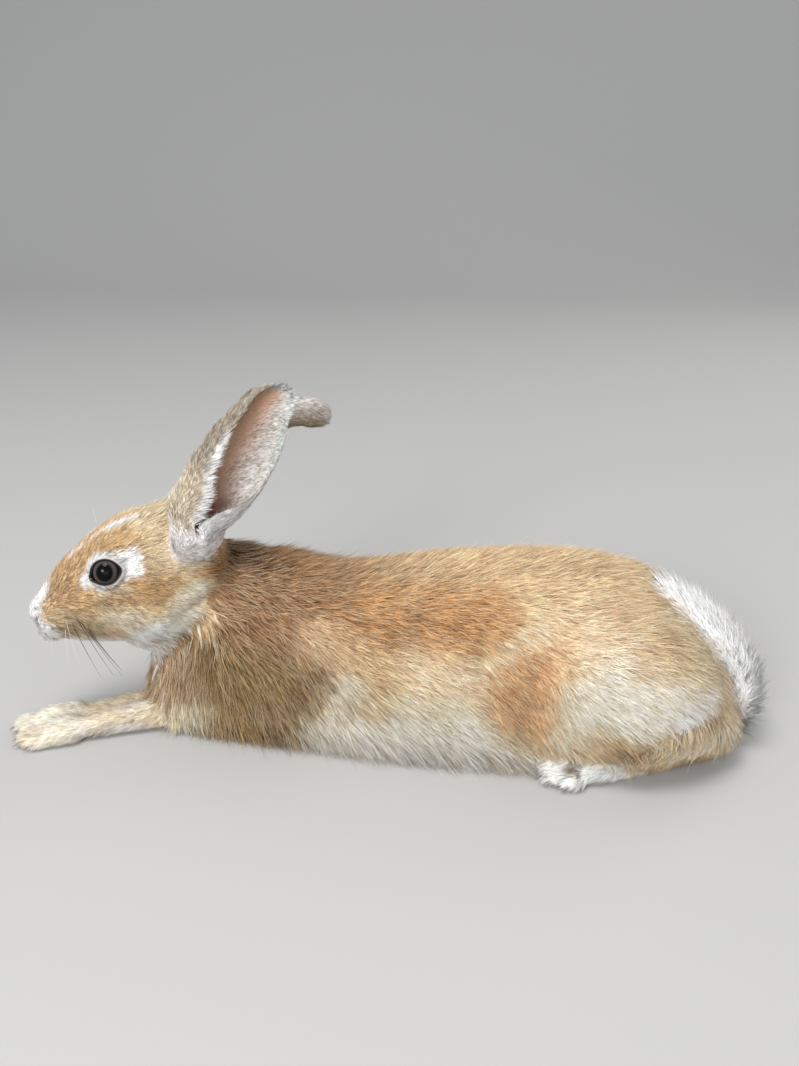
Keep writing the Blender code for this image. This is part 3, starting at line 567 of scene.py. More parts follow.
# sRGB colour, strength, half width in mm, and the line that the stroke follows on the left side, in mm. The
# right side mirrors it, apart from the blaze. The strokes of the head and the blaze are in the head's frame.
BODY_STROKES = [
    ((223, 182, 141), 0.8, 32, [(34, -4, 93), (100, -8, 92)]),
    ((183, 147, 111), 0.7, 20, [(-26, -2, 88), (-6, -4, 88)]),
    ((162, 130, 96), 0.95, 17, [(-52, -8, 87), (-32, -6, 87)]),
    ((144, 107, 74), 1.0, 27, [(-92, -28, 66), (-60, -24, 74), (-42, -18, 79)]),
    ((124, 79, 35), 0.9, 16, [(-82, -2, 94), (-62, -8, 89)]),
    ((54, 32, 14), 0.95, 14, [(-97, 2, 97), (-80, -6, 92)]),
    ((137, 110, 70), 0.95, 21, [(-94, -31, 54), (-74, -34, 38), (-58, -33, 44)]),
    ((155, 124, 78), 0.8, 15, [(-80, -30, 20), (-76, -28, 8)]),
    ((106, 80, 53), 0.5, 8, [(-51, -20, 77)]),
    ((244, 232, 200), 0.7, 12, [(-96, -28, 20), (-108, -25, 12)]),
    ((218, 181, 143), 0.8, 13, [(-42, -30, 62), (-24, -33, 58)]),
    ((117, 92, 63), 0.6, 9, [(-62, -34, 46), (-48, -35, 35)]),
    ((183, 135, 85), 0.95, 21, [(-20, -24, 76), (14, -29, 76), (40, -31, 76)]),
    ((159, 116, 73), 0.75, 13, [(-16, -30, 67), (34, -34, 68)]),
    ((219, 179, 135), 0.6, 14, [(-22, -34, 54), (2, -38, 46)]),
    ((249, 211, 172), 0.8, 17, [(12, -41, 52), (28, -42, 52)]),
    ((250, 236, 200), 0.7, 14, [(4, -42, 32), (32, -44, 34)]),
    ((201, 146, 102), 0.85, 23, [(56, -40, 62), (58, -43, 46), (58, -44, 34)]),
    ((195, 153, 106), 0.6, 11, [(56, -43, 48), (61, -44, 32)]),
    ((188, 140, 89), 0.7, 8, [(22, -37, 64), (36, -36, 67)]),
    # A painted highlight along the ridge over the flank
    ((246, 222, 184), 0.8, 6.5, [(36, -39, 59), (48, -36, 67), (66, -33, 76)]),
    ((234, 195, 155), 0.7, 24, [(76, -30, 80), (108, -42, 72)]),
    ((239, 209, 174), 0.8, 22, [(90, -47, 66), (106, -50, 62)]),
    ((252, 244, 216), 0.95, 21, [(90, -53, 50), (108, -55, 48), (122, -54, 46)]),
    ((169, 145, 113), 0.7, 12, [(122, -34, 75), (120, -46, 67)]),
    ((206, 185, 150), 0.75, 12, [(142, -22, 64), (138, -40, 62)]),
    ((252, 252, 250), 0.95, 9, [(142, -46, 52), (135, -51, 46), (130, -53, 43)]),
    ((214, 190, 152), 0.7, 8, [(118, -55, 33), (132, -51, 35)]),
    ((165, 130, 80), 0.5, 8, [(92, -54, 32), (110, -56, 32)]),
    ((220, 206, 180), 0.8, 11, [(140, -44, 24), (156, -28, 22)]),
    # Painted shade in the groove where the thigh lies over the foot
    ((112, 82, 46), 0.8, 6.5, [(100, -54, 23), (112, -55, 25), (124, -54, 28), (133, -52, 29)]),
    ((251, 243, 218), 0.9, 17, [(-38, -36, 12), (0, -40, 17), (36, -44, 20)]),
    ((197, 186, 154), 0.5, 9, [(50, -44, 20), (64, -44, 22)]),
    ((219, 218, 212), 0.95, 14, [(-50, -36, 1), (0, -40, 2), (60, -44, 3)]),
    ((250, 249, 246), 0.9, 18, [(-60, 0, 1), (60, 0, 1)]),
    ((250, 240, 212), 0.85, 11, [(-36, -36, 21), (-36, -37, 31), (-27, -37, 40)]),
    # Darker painted shade under the thigh, above the foot
    ((74, 54, 30), 0.75, 8, [(95, -51, 19), (112, -53, 22), (125, -52, 22)]),
    ((246, 232, 202), 0.7, 9, [(72, -48, 25), (80, -50, 34)]),
    ((214, 188, 152), 0.8, 6, [(-93, -25, 71), (-91, -26, 67)]),
]
LIMB_STROKES = [
    ((180, 158, 128), 1.0, 20, [(132, -42, 10), (160, -26, 12)]),
    ((162, 133, 102), 0.7, 12, [(122, -48, 8), (160, -24, 7)]),
    ((247, 246, 238), 0.95, 15, [(80, -48, 8), (106, -50, 10)]),
    ((212, 199, 172), 0.7, 15, [(-120, -28, 18), (-140, -34, 15)]),
    ((223, 224, 225), 0.6, 10, [(-152, -36, 4), (-130, -28, 2)]),
    ((221, 203, 170), 0.6, 9, [(-188, -48, 4), (-178, -46, 10)]),
    # Painted light on the top of the forearm
    ((242, 233, 209), 0.8, 8, [(-112, -24, 17), (-122, -22, 18), (-134, -26, 16)]),
    # Painted shade under the forearm
    ((132, 114, 86), 0.7, 7, [(-114, -31, 8), (-130, -32, 8), (-150, -39, 7)]),
    # Painted shade in the gap between the toes
    ((78, 62, 44), 0.9, 5.5, [(83, -48, 3), (86, -46, 11)]),
]
HEAD_STROKES = [
    ((252, 252, 244), 0.9, 22, [(-62, 0, 50), (-20, 0, 49)]),
    ((188, 157, 113), 0.9, 18, [(-46, -22, 76), (-22, -26, 79)]),
    ((170, 142, 111), 0.5, 9, [(-22, -26, 78)]),
    ((174, 134, 90), 0.5, 14, [(-40, -23, 80), (-26, -26, 84)]),
    ((228, 213, 184), 0.95, 12, [(-46, -22, 70), (-34, -25, 68)]),
    ((217, 185, 138), 0.7, 9, [(-28, -25, 68)]),
    ((252, 251, 239), 1.0, 15, [(-32, -23, 56), (-18, -25, 61)]),
    ((162, 133, 98), 0.8, 14, [(-70, -6, 84), (-57, -8, 97)]),
    ((201, 165, 120), 0.9, 15, [(-52, -9, 102), (-40, -12, 107)]),
    ((185, 141, 97), 0.5, 8, [(-66, 0, 90), (-50, 0, 105)]),
    ((245, 222, 183), 0.85, 19, [(-24, -6, 115), (-14, -8, 114)]),
    ((218, 187, 151), 0.6, 12, [(-28, 0, 117), (-16, 0, 118)]),
    ((206, 188, 156), 0.8, 13, [(-26, -22, 100), (-14, -25, 97)]),
    # Pale cheek fur, made paler still as painted light on the cheek's ridge beside the jaw fold
    ((250, 238, 206), 0.95, 11, [(-6, -25, 80), (-13, -26, 73)]),
    ((182, 164, 132), 0.85, 14, [(-75, -8, 65), (-66, -13, 66), (-58, -15, 64)]),
    ((176, 154, 125), 0.6, 4, [(-72, -11, 66), (-62, -15, 66), (-56, -17, 70)]),
    ((250, 249, 246), 0.95, 10, [(-78, -2, 80), (-81, -2, 75), (-81, -3, 69)]),
    ((236, 221, 194), 0.6, 7, [(-48, -21, 84), (-40, -23, 83)]),
    ((234, 226, 222), 0.95, 12, [(-15, -26, 105), (1, -26, 103)]),
    ((129, 90, 47), 0.9, 9, [(8, -19, 96), (3, -23, 91)]),
    ((252, 249, 226), 0.9, 7, [(-9, -22, 66), (-20, -24, 60)]),
    ((154, 120, 83), 0.7, 6, [(-46, -20, 79), (-38, -23, 80)]),
    ((250, 249, 244), 1.0, 7, [(-77.5, -11, 64), (-74.5, -10, 60.5), (-78, -1, 59), (-76, -3, 54)]),
    ((250, 249, 246), 0.9, 6, [(-83, -2, 74), (-84, -2, 67)]),
]
BLAZE = ((250, 249, 246), 1.0, 4.3,
         [(-62, -1.5, 96.5), (-52, -1.5, 105), (-43, -3.5, 109.5), (-35, -5, 113), (-31, -5, 114.5)])
MOTTLE = 0.10  # how far the coat's tone wanders
HEAD_UNEVEN = 0.3  # how ruffled the head's strokes are, against the body's
STROKE_CREST = 1.4  # over 1 a stroke has full strength over a band along its middle


def linear(srgb):
    """Linear light of an sRGB colour from 0 to 255."""
    level = np.array(srgb, float) / 255
    return np.where(level < 0.04045, level / 12.92, ((level + 0.055) / 1.055) ** 2.4)


def painted(colours, places, strokes):
    """Lays strokes over the colours; places are in the strokes' own frame."""
    for hue, strength, half_width, line in strokes:
        cover = strength * smooth((1 - from_line(places, line) / (half_width * MM)) * STROKE_CREST)[:, None]
        colours = colours * (1 - cover) + linear(hue) * cover
    return colours


def ruffled(places, amount, size, seed):
    """Places shifted by a smooth random wave, so that the strokes end unevenly."""
    wave = np.random.default_rng(seed)
    ways, turns, pushes = wave.normal(0, 1, (6, 3)), wave.uniform(0, 6.3, 6), wave.normal(0, 1, (6, 3))
    return places + sum(np.sin(places @ way / size + turn)[:, None] * push
                        for way, turn, push in zip(ways, turns, pushes)) * amount / 3


def towards(colours, hue, amount):
    return colours + (linear(HUES[hue]) - colours) * amount


EAR_REACH = 1.6 * MM
EAR_ROOT_SHARE = 0.16  # below it the ear is part of the head


def ear_places(points, facing):
    """For each point: which ear it is on or -1, its share along, place across and face (1 outer), and the
    nearest point of that ear's sections."""
    apart = points + facing * FACE_APART
    found = np.full((len(points), 5), -1.0)
    for index, name in enumerate(EAR_SECTIONS):
        tree, tags, shell = ear_maps[name]
        low, high = shell.min(0) - EAR_REACH, shell.max(0) + EAR_REACH
        for k in np.flatnonzero(((points > low) & (points < high)).all(1)):
            _, nearest, distance = tree.find(apart[k])
            if distance < EAR_REACH:
                found[k] = (index, *tags[nearest], nearest)
    return found


points = points_of(skin.data)
edges = edges_of(skin.data)
ear = ear_places(points, normals_of(skin.data))
part = parts_at(points)
is_ear = (ear[:, 0] >= 0) & (ear[:, 1] > EAR_ROOT_SHARE)


def in_group(part, *starts):
    """Whether each place's part has a name that starts so."""
    return np.isin(part, [i for i, name in enumerate(part_names) if name.startswith(starts)])


is_head = in_group(part, "head", "ear_")
is_limb = in_group(part, "hind_foot", "fore")

colours = by_part(part, {key: linear(HUES[hue]) for key, hue in PART_HUES.items()})
colours = relaxed(colours, edges, 8, 0.5)
uneven = ruffled(ruffled(points, 3.0 * MM, 9 * MM, 3), 1.0 * MM, 2.5 * MM, 4)  # long waves, then short ones
body_colours = painted(colours, left_half(uneven), BODY_STROKES)
body_colours = np.where(is_limb[:, None], painted(colours, left_half(uneven), LIMB_STROKES), body_colours)
body_colours = np.where(in_group(part, "tail")[:, None], linear(HUES["white"]), body_colours)
head = in_head(points)
uneven_head = in_head(points + (uneven - points) * HEAD_UNEVEN)
head_colours = painted(painted(colours, left_half(uneven_head), HEAD_STROKES), uneven_head, [BLAZE])
colours = np.where(is_head[:, None], head_colours, body_colours)
colours = relaxed(colours, edges, 3, 0.5 * ~is_ear)

along, across, face = ear[:, 1], ear[:, 2], ear[:, 3]


def ramp(value, start, end):
    """A column that eases from 0 at start to 1 at end."""
    return smooth((value - start) / (end - start))[:, None]


wander = sum((ruffled(points, 1, size, seed) - points)[:, :1] * share
             for size, seed, share in ((7 * MM, 5, 1.0), (2.2 * MM, 6, 0.6)))
colours = colours * (1 + MOTTLE * wander * ~is_ear[:, None])

# The ears: outside, gold with a white root, a grey front edge and a pale rim. Inside, tan and pink skin, red
# deep down, with white hair on the rear half.
in_front = ramp(-across, 0.0, 0.4)
gilt = ramp(along, 0.2, 0.45) * (1 - in_front) + ramp(along, 0.14, 0.28) * in_front
outer_hue = towards(linear(HUES["ear_white"]), "ear_gold", gilt)
outer_hue = towards(outer_hue, "ear_light", ramp(across, -0.3, 0.1) * ramp(along, 0.55, 0.7))
front_band = ramp(-across, 0.35, 0.7) * ramp(along, 0.42, 0.55) * (1 - ramp(along, 0.8, 0.9))
outer_hue = towards(outer_hue, "ear_shade", front_band)
outer_hue = towards(outer_hue, "ear_white", 0.8 * ramp(across, 0.2, 0.6) * (1 - ramp(along, 0.6, 0.8)))
outer_hue = towards(outer_hue, "ear_rim", ramp(along, 0.88, 0.95))
inner_hue = towards(linear(HUES["ear_tan"]), "ear_pink", ramp(across, -0.1, 0.3))
inner_hue = towards(inner_hue, "ear_hair", ramp(across, 0.1, 0.5))
inner_hue = towards(inner_hue, "ear_red", (1 - ramp(along, 0.34, 0.46)) * (1 - 0.8 * ramp(across, 0.0, 0.4)))
inner_rim = np.maximum(ramp(along, 0.86, 0.93), ramp(abs(across), 0.62, 0.78) * ramp(along, 0.55, 0.7))
inner_hue = towards(inner_hue, "ear_tip", inner_rim)
at_front_edge = ramp(-across, 0.92, 0.99) * ramp(along, 0.24, 0.30) * (1 - ramp(along, 0.62, 0.70))
flap_fringe = at_front_edge[:, 0] * (face > 0)
outer_hue = towards(outer_hue, "white", 0.9 * flap_fringe[:, None])
colours = np.where(is_ear[:, None], np.where((face > 0)[:, None], outer_hue, inner_hue), colours)

# A ring of white hair round each eye, widest ahead and behind, over grey skin and the lids' dark rims
for side in (-1, 1):
    polar, turn, distance = eye_angles(points, side)
    clear = (polar - lid_edge(turn)) * EYE_RADIUS
    behind = np.clip(np.cos(turn - 2.9), 0, 1) ** 3
    ahead = np.clip(np.cos(turn + 0.2), 0, 1) ** 1.5
    width = (2.0 + 3.0 * behind + 3.0 * ahead + 1.7 * np.clip(np.sin(turn), 0, 1)) * MM
    for hue, strength, beyond, start, end, reach in (
        ("white", 0.92, clear / width, 0.75, 1.3, 8 * MM),
        ("halo", 0.45, clear, 0.6 * MM, 1.9 * MM, 6 * MM),
        ("lid", 1, clear, 0.15 * MM, 0.9 * MM, 5 * MM),
    ):
        near = ((distance < EYE_RADIUS + reach) & (polar < 2.2))[:, None]
        colours = towards(colours, hue, strength * (1 - ramp(beyond, start, end)) * near)
# The notch under the cleft and the mouth are darkened along their grooves: darker lip skin, and painted shade
# in the crease
folded = left_half(head) * (1, -1, 1)
for line, half_width, _ in FACE_GROOVES[2:]:
    groove = fade(from_line(folded, line), half_width * 0.55 * MM) * is_head
    colours = towards(colours, "lip_and_crease_shade", 0.5 * groove[:, None])

# The lie of the coat: strokes of a comb on the left side, as (place in mm, direction), and mirrored. In the
# ears it runs to the tip, across the front edge where the fringe hangs, and to the rear inside.
COMB = {
    "head": [  # in the head's frame
        ((-79, 0, 77), (1, 0, 0.8)), ((-66, 0, 90), (1, 0, 0.7)), ((-45, 0, 108), (1, 0, 0.4)),
        ((-20, 0, 116), (1, 0, 0)), ((-2, 0, 112), (1, 0, -0.4)), ((-50, -20, 82), (1, -0.3, -0.1)),
        ((-30, -26, 78), (1, 0, -0.2)), ((-14, -26, 84), (1, 0, -0.35)), ((-12, -25, 68), (1, 0, -0.6)),
        ((-70, -9, 67), (0.9, -0.5, -0.3)), ((-73, 0, 54), (1, 0, -0.1)), ((-45, 0, 51), (1, 0, 0)),
        ((-40, -18, 54), (1, 0, -0.3)), ((-26, -24, 96), (1, 0, 0.1)), ((-6, -26, 102), (0.5, -0.2, 1)),
        ((8, -24, 92), (0.9, 0, -0.2)), ((-20, -20, 108), (0.9, 0, 0.4)), ((-20, 0, 48), (1, 0, 0)),
    ],
    "body": [
        ((-80, 0, 93), (1, 0, -0.1)), ((-85, -28, 66), (0.8, 0, -0.7)), ((-104, -25, 48), (0.35, 0, -1)),
        ((-118, -14, 30), (0.2, 0, -1)), ((-125, 0, 32), (0.1, 0, -1)), ((-75, -36, 30), (0.6, 0, -0.9)),
        ((-58, -32, 56), (0.8, 0, -0.6)), ((-40, 0, 87), (1, 0, 0)), ((-36, -32, 70), (1, 0, -0.35)),
        ((0, -40, 54), (1, 0, -0.15)), ((22, -43, 34), (1, -0.05, -0.25)),
        ((-40, -39, 14), (0.7, -0.3, -0.6)), ((10, -43, 10), (0.8, -0.3, -0.5)),
        ((44, -44, 10), (0.85, -0.2, -0.5)), ((20, 0, 93), (1, 0, 0)), ((90, 0, 95), (1, 0, 0)),
        ((96, -46, 66), (1, 0, -0.2)), ((58, -43, 56), (0.85, 0, -0.5)),
        ((54, -44, 28), (0.75, -0.1, -0.65)), ((110, -54, 42), (0.9, 0, -0.45)),
        ((92, -54, 26), (1, 0, -0.4)), ((136, -38, 52), (0.9, 0, -0.6)),
        ((138, -8, 74), (0.8, -0.3, -0.6)), ((156, -14, 38), (0.4, -0.3, -1)),
        ((150, -40, 22), (-0.9, -0.4, -0.3)), ((128, -50, 20), (-0.9, -0.4, -0.2)), ((0, 0, 0), (1, 0, 0)),
        ((-80, 0, 0), (1, 0, 0)), ((80, 0, 0), (1, 0, 0)), ((-96, -28, 20), (0.1, -0.2, -1)),
    ],
    "hind_foot": [
        ((140, -38, 14), (-0.9, -0.4, 0)), ((105, -50, 12), (-0.9, -0.4, -0.1)),
        ((84, -52, 9), (-0.85, -0.5, -0.3)), ((155, -25, 14), (-0.7, -0.3, -0.6)),
    ],
    "fore": [
        ((-112, -24, 18), (-0.7, -0.4, -0.5)), ((-130, -29, 12), (-0.9, -0.45, -0.1)),
        ((-160, -40, 11), (-0.9, -0.4, -0.2)), ((-180, -46, 7), (-0.9, -0.4, -0.5)),
    ],
    "tail": [
        ((166, -14, 20), (0.1, -0.4, 1)), ((170, -12, 40), (-0.1, -0.35, 1)),
        ((158, -12, 58), (-0.5, -0.4, 0.8)), ((142, -10, 72), (-0.5, -0.4, 0.8)),
        ((126, -4, 83), (-0.8, -0.2, 0.6)),
    ],
}
COMB_REACH = 9 * MM


def combed(places, strokes):
    """The direction at each place of the strokes round it, weighted by nearness."""
    found = np.zeros((len(places), 3))
    for place, direction in strokes:
        for side in (1, -1):
            near = np.linalg.norm(places - np.array(place) * (1, side, 1) * MM, axis=1)
            heading = np.array(direction, float) * (1, side, 1)
            found += heading / np.linalg.norm(heading) / (near**2 + COMB_REACH**2)[:, None] ** 1.5 * MM**3
    return unit(found)


def on_skin(vectors, facing):
    """Directions laid along the skin."""
    return unit(vectors - facing * (vectors * facing).sum(1)[:, None])


facing = normals_of(skin.data)
lie = combed(points, COMB["body"])
lie = np.where(is_head[:, None], combed(head, COMB["head"]) @ HEAD_AXES.T, lie)
for group in ("hind_foot", "fore", "tail"):
    mine = in_group(part, group)
    lie[mine] = combed(points[mine], COMB[group])
for index, name in enumerate(EAR_SECTIONS):
    rings, _ = ear_rings(name)
    middles = rings.mean(1)
    axis = unit(np.gradient(middles, axis=0))
    mine = is_ear & (ear[:, 0] == index)
    row = np.round(along[mine] * (len(middles) - 1)).astype(int)
    around = unit((np.roll(rings, -1, 1) - np.roll(rings, 1, 1)).reshape(-1, 3))
    spread = around[ear[mine, 4].astype(int)] * face[mine, None]  # from the front edge to the rear one
    turned = np.where(face[mine] > 0, -1.6 * flap_fringe[mine], 0.9 * ramp(across[mine], 0, 0.5)[:, 0])
    lie[mine] = (axis[row] + spread * turned[:, None]) @ HEAD_AXES.T
lie = on_skin(lie, facing)
for _ in range(8):
    lie = on_skin(relaxed(lie, edges, 1, 0.5), facing)

# ------------------------------------------------------------
# The coat: fine dense hair, long and loose on the body, short on the face, feet and ears. Each lock is a thin
# spike of solid mesh, rooted in the skin, that lies the way the coat is combed and leans on its neighbours.

# By part: length mm, width mm, locks per square mm, rise in degrees, how far a clump draws together
LOCKS = {
    "head": (4.2, 0.32, 6.0, 16, 0.55), "neck": (10.5, 0.36, 4.2, 24, 0.7),
    "shoulder": (10.5, 0.36, 4.2, 22, 0.7), "chest": (10.5, 0.36, 4.2, 21, 0.7),
    "loin": (10.0, 0.36, 4.2, 19, 0.7), "rump": (9.5, 0.36, 4.2, 19, 0.7),
    "haunch": (9.5, 0.36, 4.2, 19, 0.7), "hind_foot": (5.0, 0.32, 4.4, 20, 0.5),
    "forearm": (4.8, 0.30, 4.8, 16, 0.5), "forepaw": (4.0, 0.28, 5.0, 18, 0.45),
    "tail": (9.5, 0.34, 5.5, 30, 0.55), "ear_": (3.0, 0.30, 6.0, 15, 0.5),
}
UNDERSIDE_SHARE = 0.12  # of the locks, where the coat is pressed on the floor
chance = np.random.default_rng(7)

make = by_part(part, LOCKS)
make[is_ear] = LOCKS["ear_"]
make = relaxed(make, edges, 12, 0.5 * ~is_ear)
length, width, density, rise, gather = make.T
muzzle = fade(from_line(head, [(-80, 0, 68)]), 26 * MM) * is_head
length = length * (1 - 0.62 * muzzle)
density = density * (1 + 0.3 * muzzle)

# A tuft stands before each ear, a fringe hangs where the belly meets the floor and on the front edge of each
# ear, and the toes are shaggy
crown_tuft = fade(from_line(left_half(head), [(-17, -5, 116), (-10, -13, 112)]), 11 * MM) * is_head
length = length + 3.0 * crown_tuft
rise = rise + 20 * crown_tuft
on_body = in_group(part, "chest", "loin", "shoulder", "rump", "haunch")
fringe = fade(abs(points[:, 2] - 7 * MM), 10 * MM) * on_body * (points[:, 0] < 62 * MM)
length = length + 5.5 * fringe
rise = rise + 20 * fringe
gather = gather + 0.25 * fringe
length = length + 2.6 * flap_fringe * is_ear
density = density * (1 + 0.8 * flap_fringe * is_ear)
rise = rise + 4 * flap_fringe * is_ear
toes = fade(abs(points[:, 0] - 66 * MM), 18 * MM) * in_group(part, "hind_foot")
length = length + 3.0 * toes

# Pressed thin under the body
under = np.clip(-facing[:, 2] - 0.55, 0, 1) / 0.45 * (points[:, 2] < 5 * MM)
density = density * (1 - (1 - UNDERSIDE_SHARE) * under)

# Inside the ears: bare in front and deep down, short hair on the rear half and along the rims
inner = is_ear & (face < 0)
hairy = np.maximum(ramp(across, 0.15, 0.5), ramp(abs(across), 0.86, 0.97))[:, 0]
hairy = np.maximum(hairy, (ramp(abs(across), 0.6, 0.75) * ramp(along, 0.55, 0.7))[:, 0])
hairy = np.maximum(hairy, ramp(along, 0.86, 0.93)[:, 0]) * ramp(along, 0.3, 0.45)[:, 0]
density = np.where(inner, density * (0.04 + 1.1 * hairy), density)

# Round the eyes the hair is short, and none grows on the lids' edge or on the eye
for side in (-1, 1):
    polar, turn, distance = eye_angles(points, side)
    clear = (polar - lid_edge(turn)) * EYE_RADIUS
    near = (distance < EYE_RADIUS + 9 * MM) & (polar < 2.2)
    density = np.where(near & (clear < 0.9 * MM), 0, density)
    short = np.clip(0.35 + clear / (9 * MM), 0.3, 1)
    length = np.where(near, length * short, length)
    inwards = on_skin(out_of_head(eye_centre(side)[None])[0] - points, facing)
    heading_in = np.clip((lie * inwards).sum(1), 0, 1) * fade(np.maximum(clear, 0), 5 * MM) * near
    lie = on_skin(lie - inwards * (1.1 * heading_in)[:, None], facing)
fields = [points, facing, lie, colours, length * MM, width * MM, rise, gather, part, ear[:, :4]]
fields = np.column_stack(fields)

# Roots: spread evenly over the skin by the density, with what the skin says at each
triangles = triangles_of(skin.data)
corners = points[triangles]
area = np.linalg.norm(np.cross(corners[:, 1] - corners[:, 0], corners[:, 2] - corners[:, 0]), axis=1) / 2
weight = area * density[triangles].mean(1) / MM**2
total = np.cumsum(weight)
wanted = int(total[-1])
picks = (np.arange(wanted) + chance.random(wanted)) / wanted * total[-1]
rooted = np.searchsorted(total, picks).clip(0, len(triangles) - 1)
a, b = chance.random((2, len(rooted)))
a, b = np.where(a + b > 1, 1 - a, a), np.where(a + b > 1, 1 - b, b)
mix = np.stack([1 - a - b, a, b], 1)
blend = np.einsum("nk,nkf->nf", mix, fields[triangles[rooted]])
nearest = fields[triangles[rooted, 0]]
roots, up, heading, hue = blend[:, :3], blend[:, 3:6], blend[:, 6:9], blend[:, 9:12]
lock_length, lock_width, lock_rise, lock_gather = blend[:, 12:16].T
lock_part = nearest[:, 16].astype(int)
lock_ear = nearest[:, 17:21]
lock_on_ear = (lock_ear[:, 0] >= 0) & (lock_ear[:, 1] > EAR_ROOT_SHARE)
up = unit(up)
heading = on_skin(heading, up)
count = len(roots)

# Clumps: each lock leans towards the tip of the nearest clump's middle lock. Guard hairs are long and pale,
# and stand over the rest and cross it.
GUARD_SHARE, CLUMP_SHARE = 0.15, 1 / 9
rise_angle = np.radians(lock_rise * chance.normal(1, 0.22, count).clip(0.3, 1.8))
lock_length = lock_length * chance.normal(1, 0.16, count).clip(0.5, 1.5)
guard = (chance.random(count) < GUARD_SHARE) & ~lock_on_ear
rise_angle = rise_angle * np.where(guard, 1.2, 1)
lock_length = lock_length * np.where(guard, 1.25, 1)
lock_width = lock_width * np.where(guard, 1.2, 1)
sideways = np.cross(up, heading)
swing = (chance.normal(0, 0.22, count) * np.where(guard, 1.6, 1))[:, None]
direction = (heading + sideways * swing) * np.cos(rise_angle)[:, None] + up * np.sin(rise_angle)[:, None]
tips = roots + unit(direction) * lock_length[:, None]
middles = np.flatnonzero(chance.random(count) < CLUMP_SHARE)


def nearest_of(places, others):
    """The number of the nearest of the places to each of the others."""
    tree = KDTree(len(places))
    for index, place in enumerate(places.tolist()):
        tree.insert(place, index)
    tree.balance()
    return np.array([tree.find(place)[1] for place in others.tolist()])


apart = roots + up * 3 * MM  # keeps the two faces of an ear apart
clump = nearest_of(apart[middles], apart)
clump_tone = np.exp(chance.normal(0, 0.24, len(middles)))[clump]
clump_lift = chance.normal(0, 0.10, len(middles))[clump]
leader = middles[clump]
lean = lock_gather * chance.uniform(0.5, 1.2, count) * np.where(guard, 0.3, 1)
goal = tips[leader] + (roots - roots[leader]) * 0.22 + up * (clump_lift * lock_length)[:, None]
reach = np.linalg.norm(tips - roots, axis=1)
tips = tips + (goal - tips) * lean[:, None]
tips = roots + (tips - roots) * (reach / np.linalg.norm(tips - roots, axis=1))[:, None]
tips[:, 2] = np.maximum(tips[:, 2], 0.4 * MM)  # clear of the floor

# Each clump takes its tone from a little way off along the lie, so that the markings end in streaks
STREAK_SHARE, STREAK_HAIR = 0.6, 10 * MM  # how far the tone counts, and the hair that strays most
STREAK_ALONG, STREAK_ACROSS = 5 * MM, 2 * MM
tone = (clump_tone * np.exp(chance.normal(0, np.where(lock_on_ear, 0.4, 0.31)))).clip(0.4, 1.9)[:, None]
reach = (lock_length[middles] / STREAK_HAIR) ** 2
stray = heading[middles] * (chance.normal(0, STREAK_ALONG, len(middles)) * reach)[:, None]
stray = stray + sideways[middles] * (chance.normal(0, STREAK_ACROSS, len(middles)) * reach)[:, None]
strayed = colours[nearest_of(points, roots[middles] + stray)]
hue = np.where(lock_on_ear[:, None], hue, hue + (strayed[clump] - hue) * STREAK_SHARE)
# Darker and warmer at the root, as the hair's own undercolour and as painted shade of the gaps between locks,
# paler at the tip, and uneven from lock to lock and clump to clump. White and grey hair is less dark at the
# root.
ROOT_UNDERCOLOUR_AND_SHADE, PALE_ROOT_UNDERCOLOUR_AND_SHADE = np.array([0.58, 0.48, 0.38]), 0.72
TIP_SHADE = np.array([1.16, 1.18, 1.22])
GUARD_TIP = linear(HUES["cream"])
root_hue = (hue * ROOT_UNDERCOLOUR_AND_SHADE * tone).clip(0, 1)
tip_hue = (hue * TIP_SHADE * tone).clip(0, 0.95)
tip_hue = tip_hue + (np.maximum(GUARD_TIP, tip_hue) * 0.92 - tip_hue) * 0.5 * guard[:, None]
grey = hue.min(1)[:, None] / hue.max(1)[:, None]
root_hue = root_hue + (hue * PALE_ROOT_UNDERCOLOUR_AND_SHADE * tone - root_hue) * ramp(grey[:, 0], 0.6, 0.9)

BAKE_PATCH = 0.003  # side of each lock's patch on the flat map
TRUNK_MIDDLE, HEAD_MIDDLE, LIMB_MIDDLE = 42 * MM, 78 * MM, 7 * MM  # heights of their middle lines
# The middle line of a limb, seen from above: where it starts, y there and y for each step of x
HIND_LINE, FORE_LINE = (0.163, 0.011, 0.43), (-0.109, 0.010, 0.42)
FORE_PARTING = (-0.11, -0.004, 0.28)  # between the two forelegs


def chart(places, low, high):
    return 0.01 + 0.98 * (places - low) / (high - low)


def round_share(sideways, upward):
    """Share of a turn, from above through the side, on the map."""
    return chart(np.arctan2(sideways, upward) / math.pi, -1, 1)


def on_line(x, line):
    start, y, slope = line
    return (x - start) * slope + y


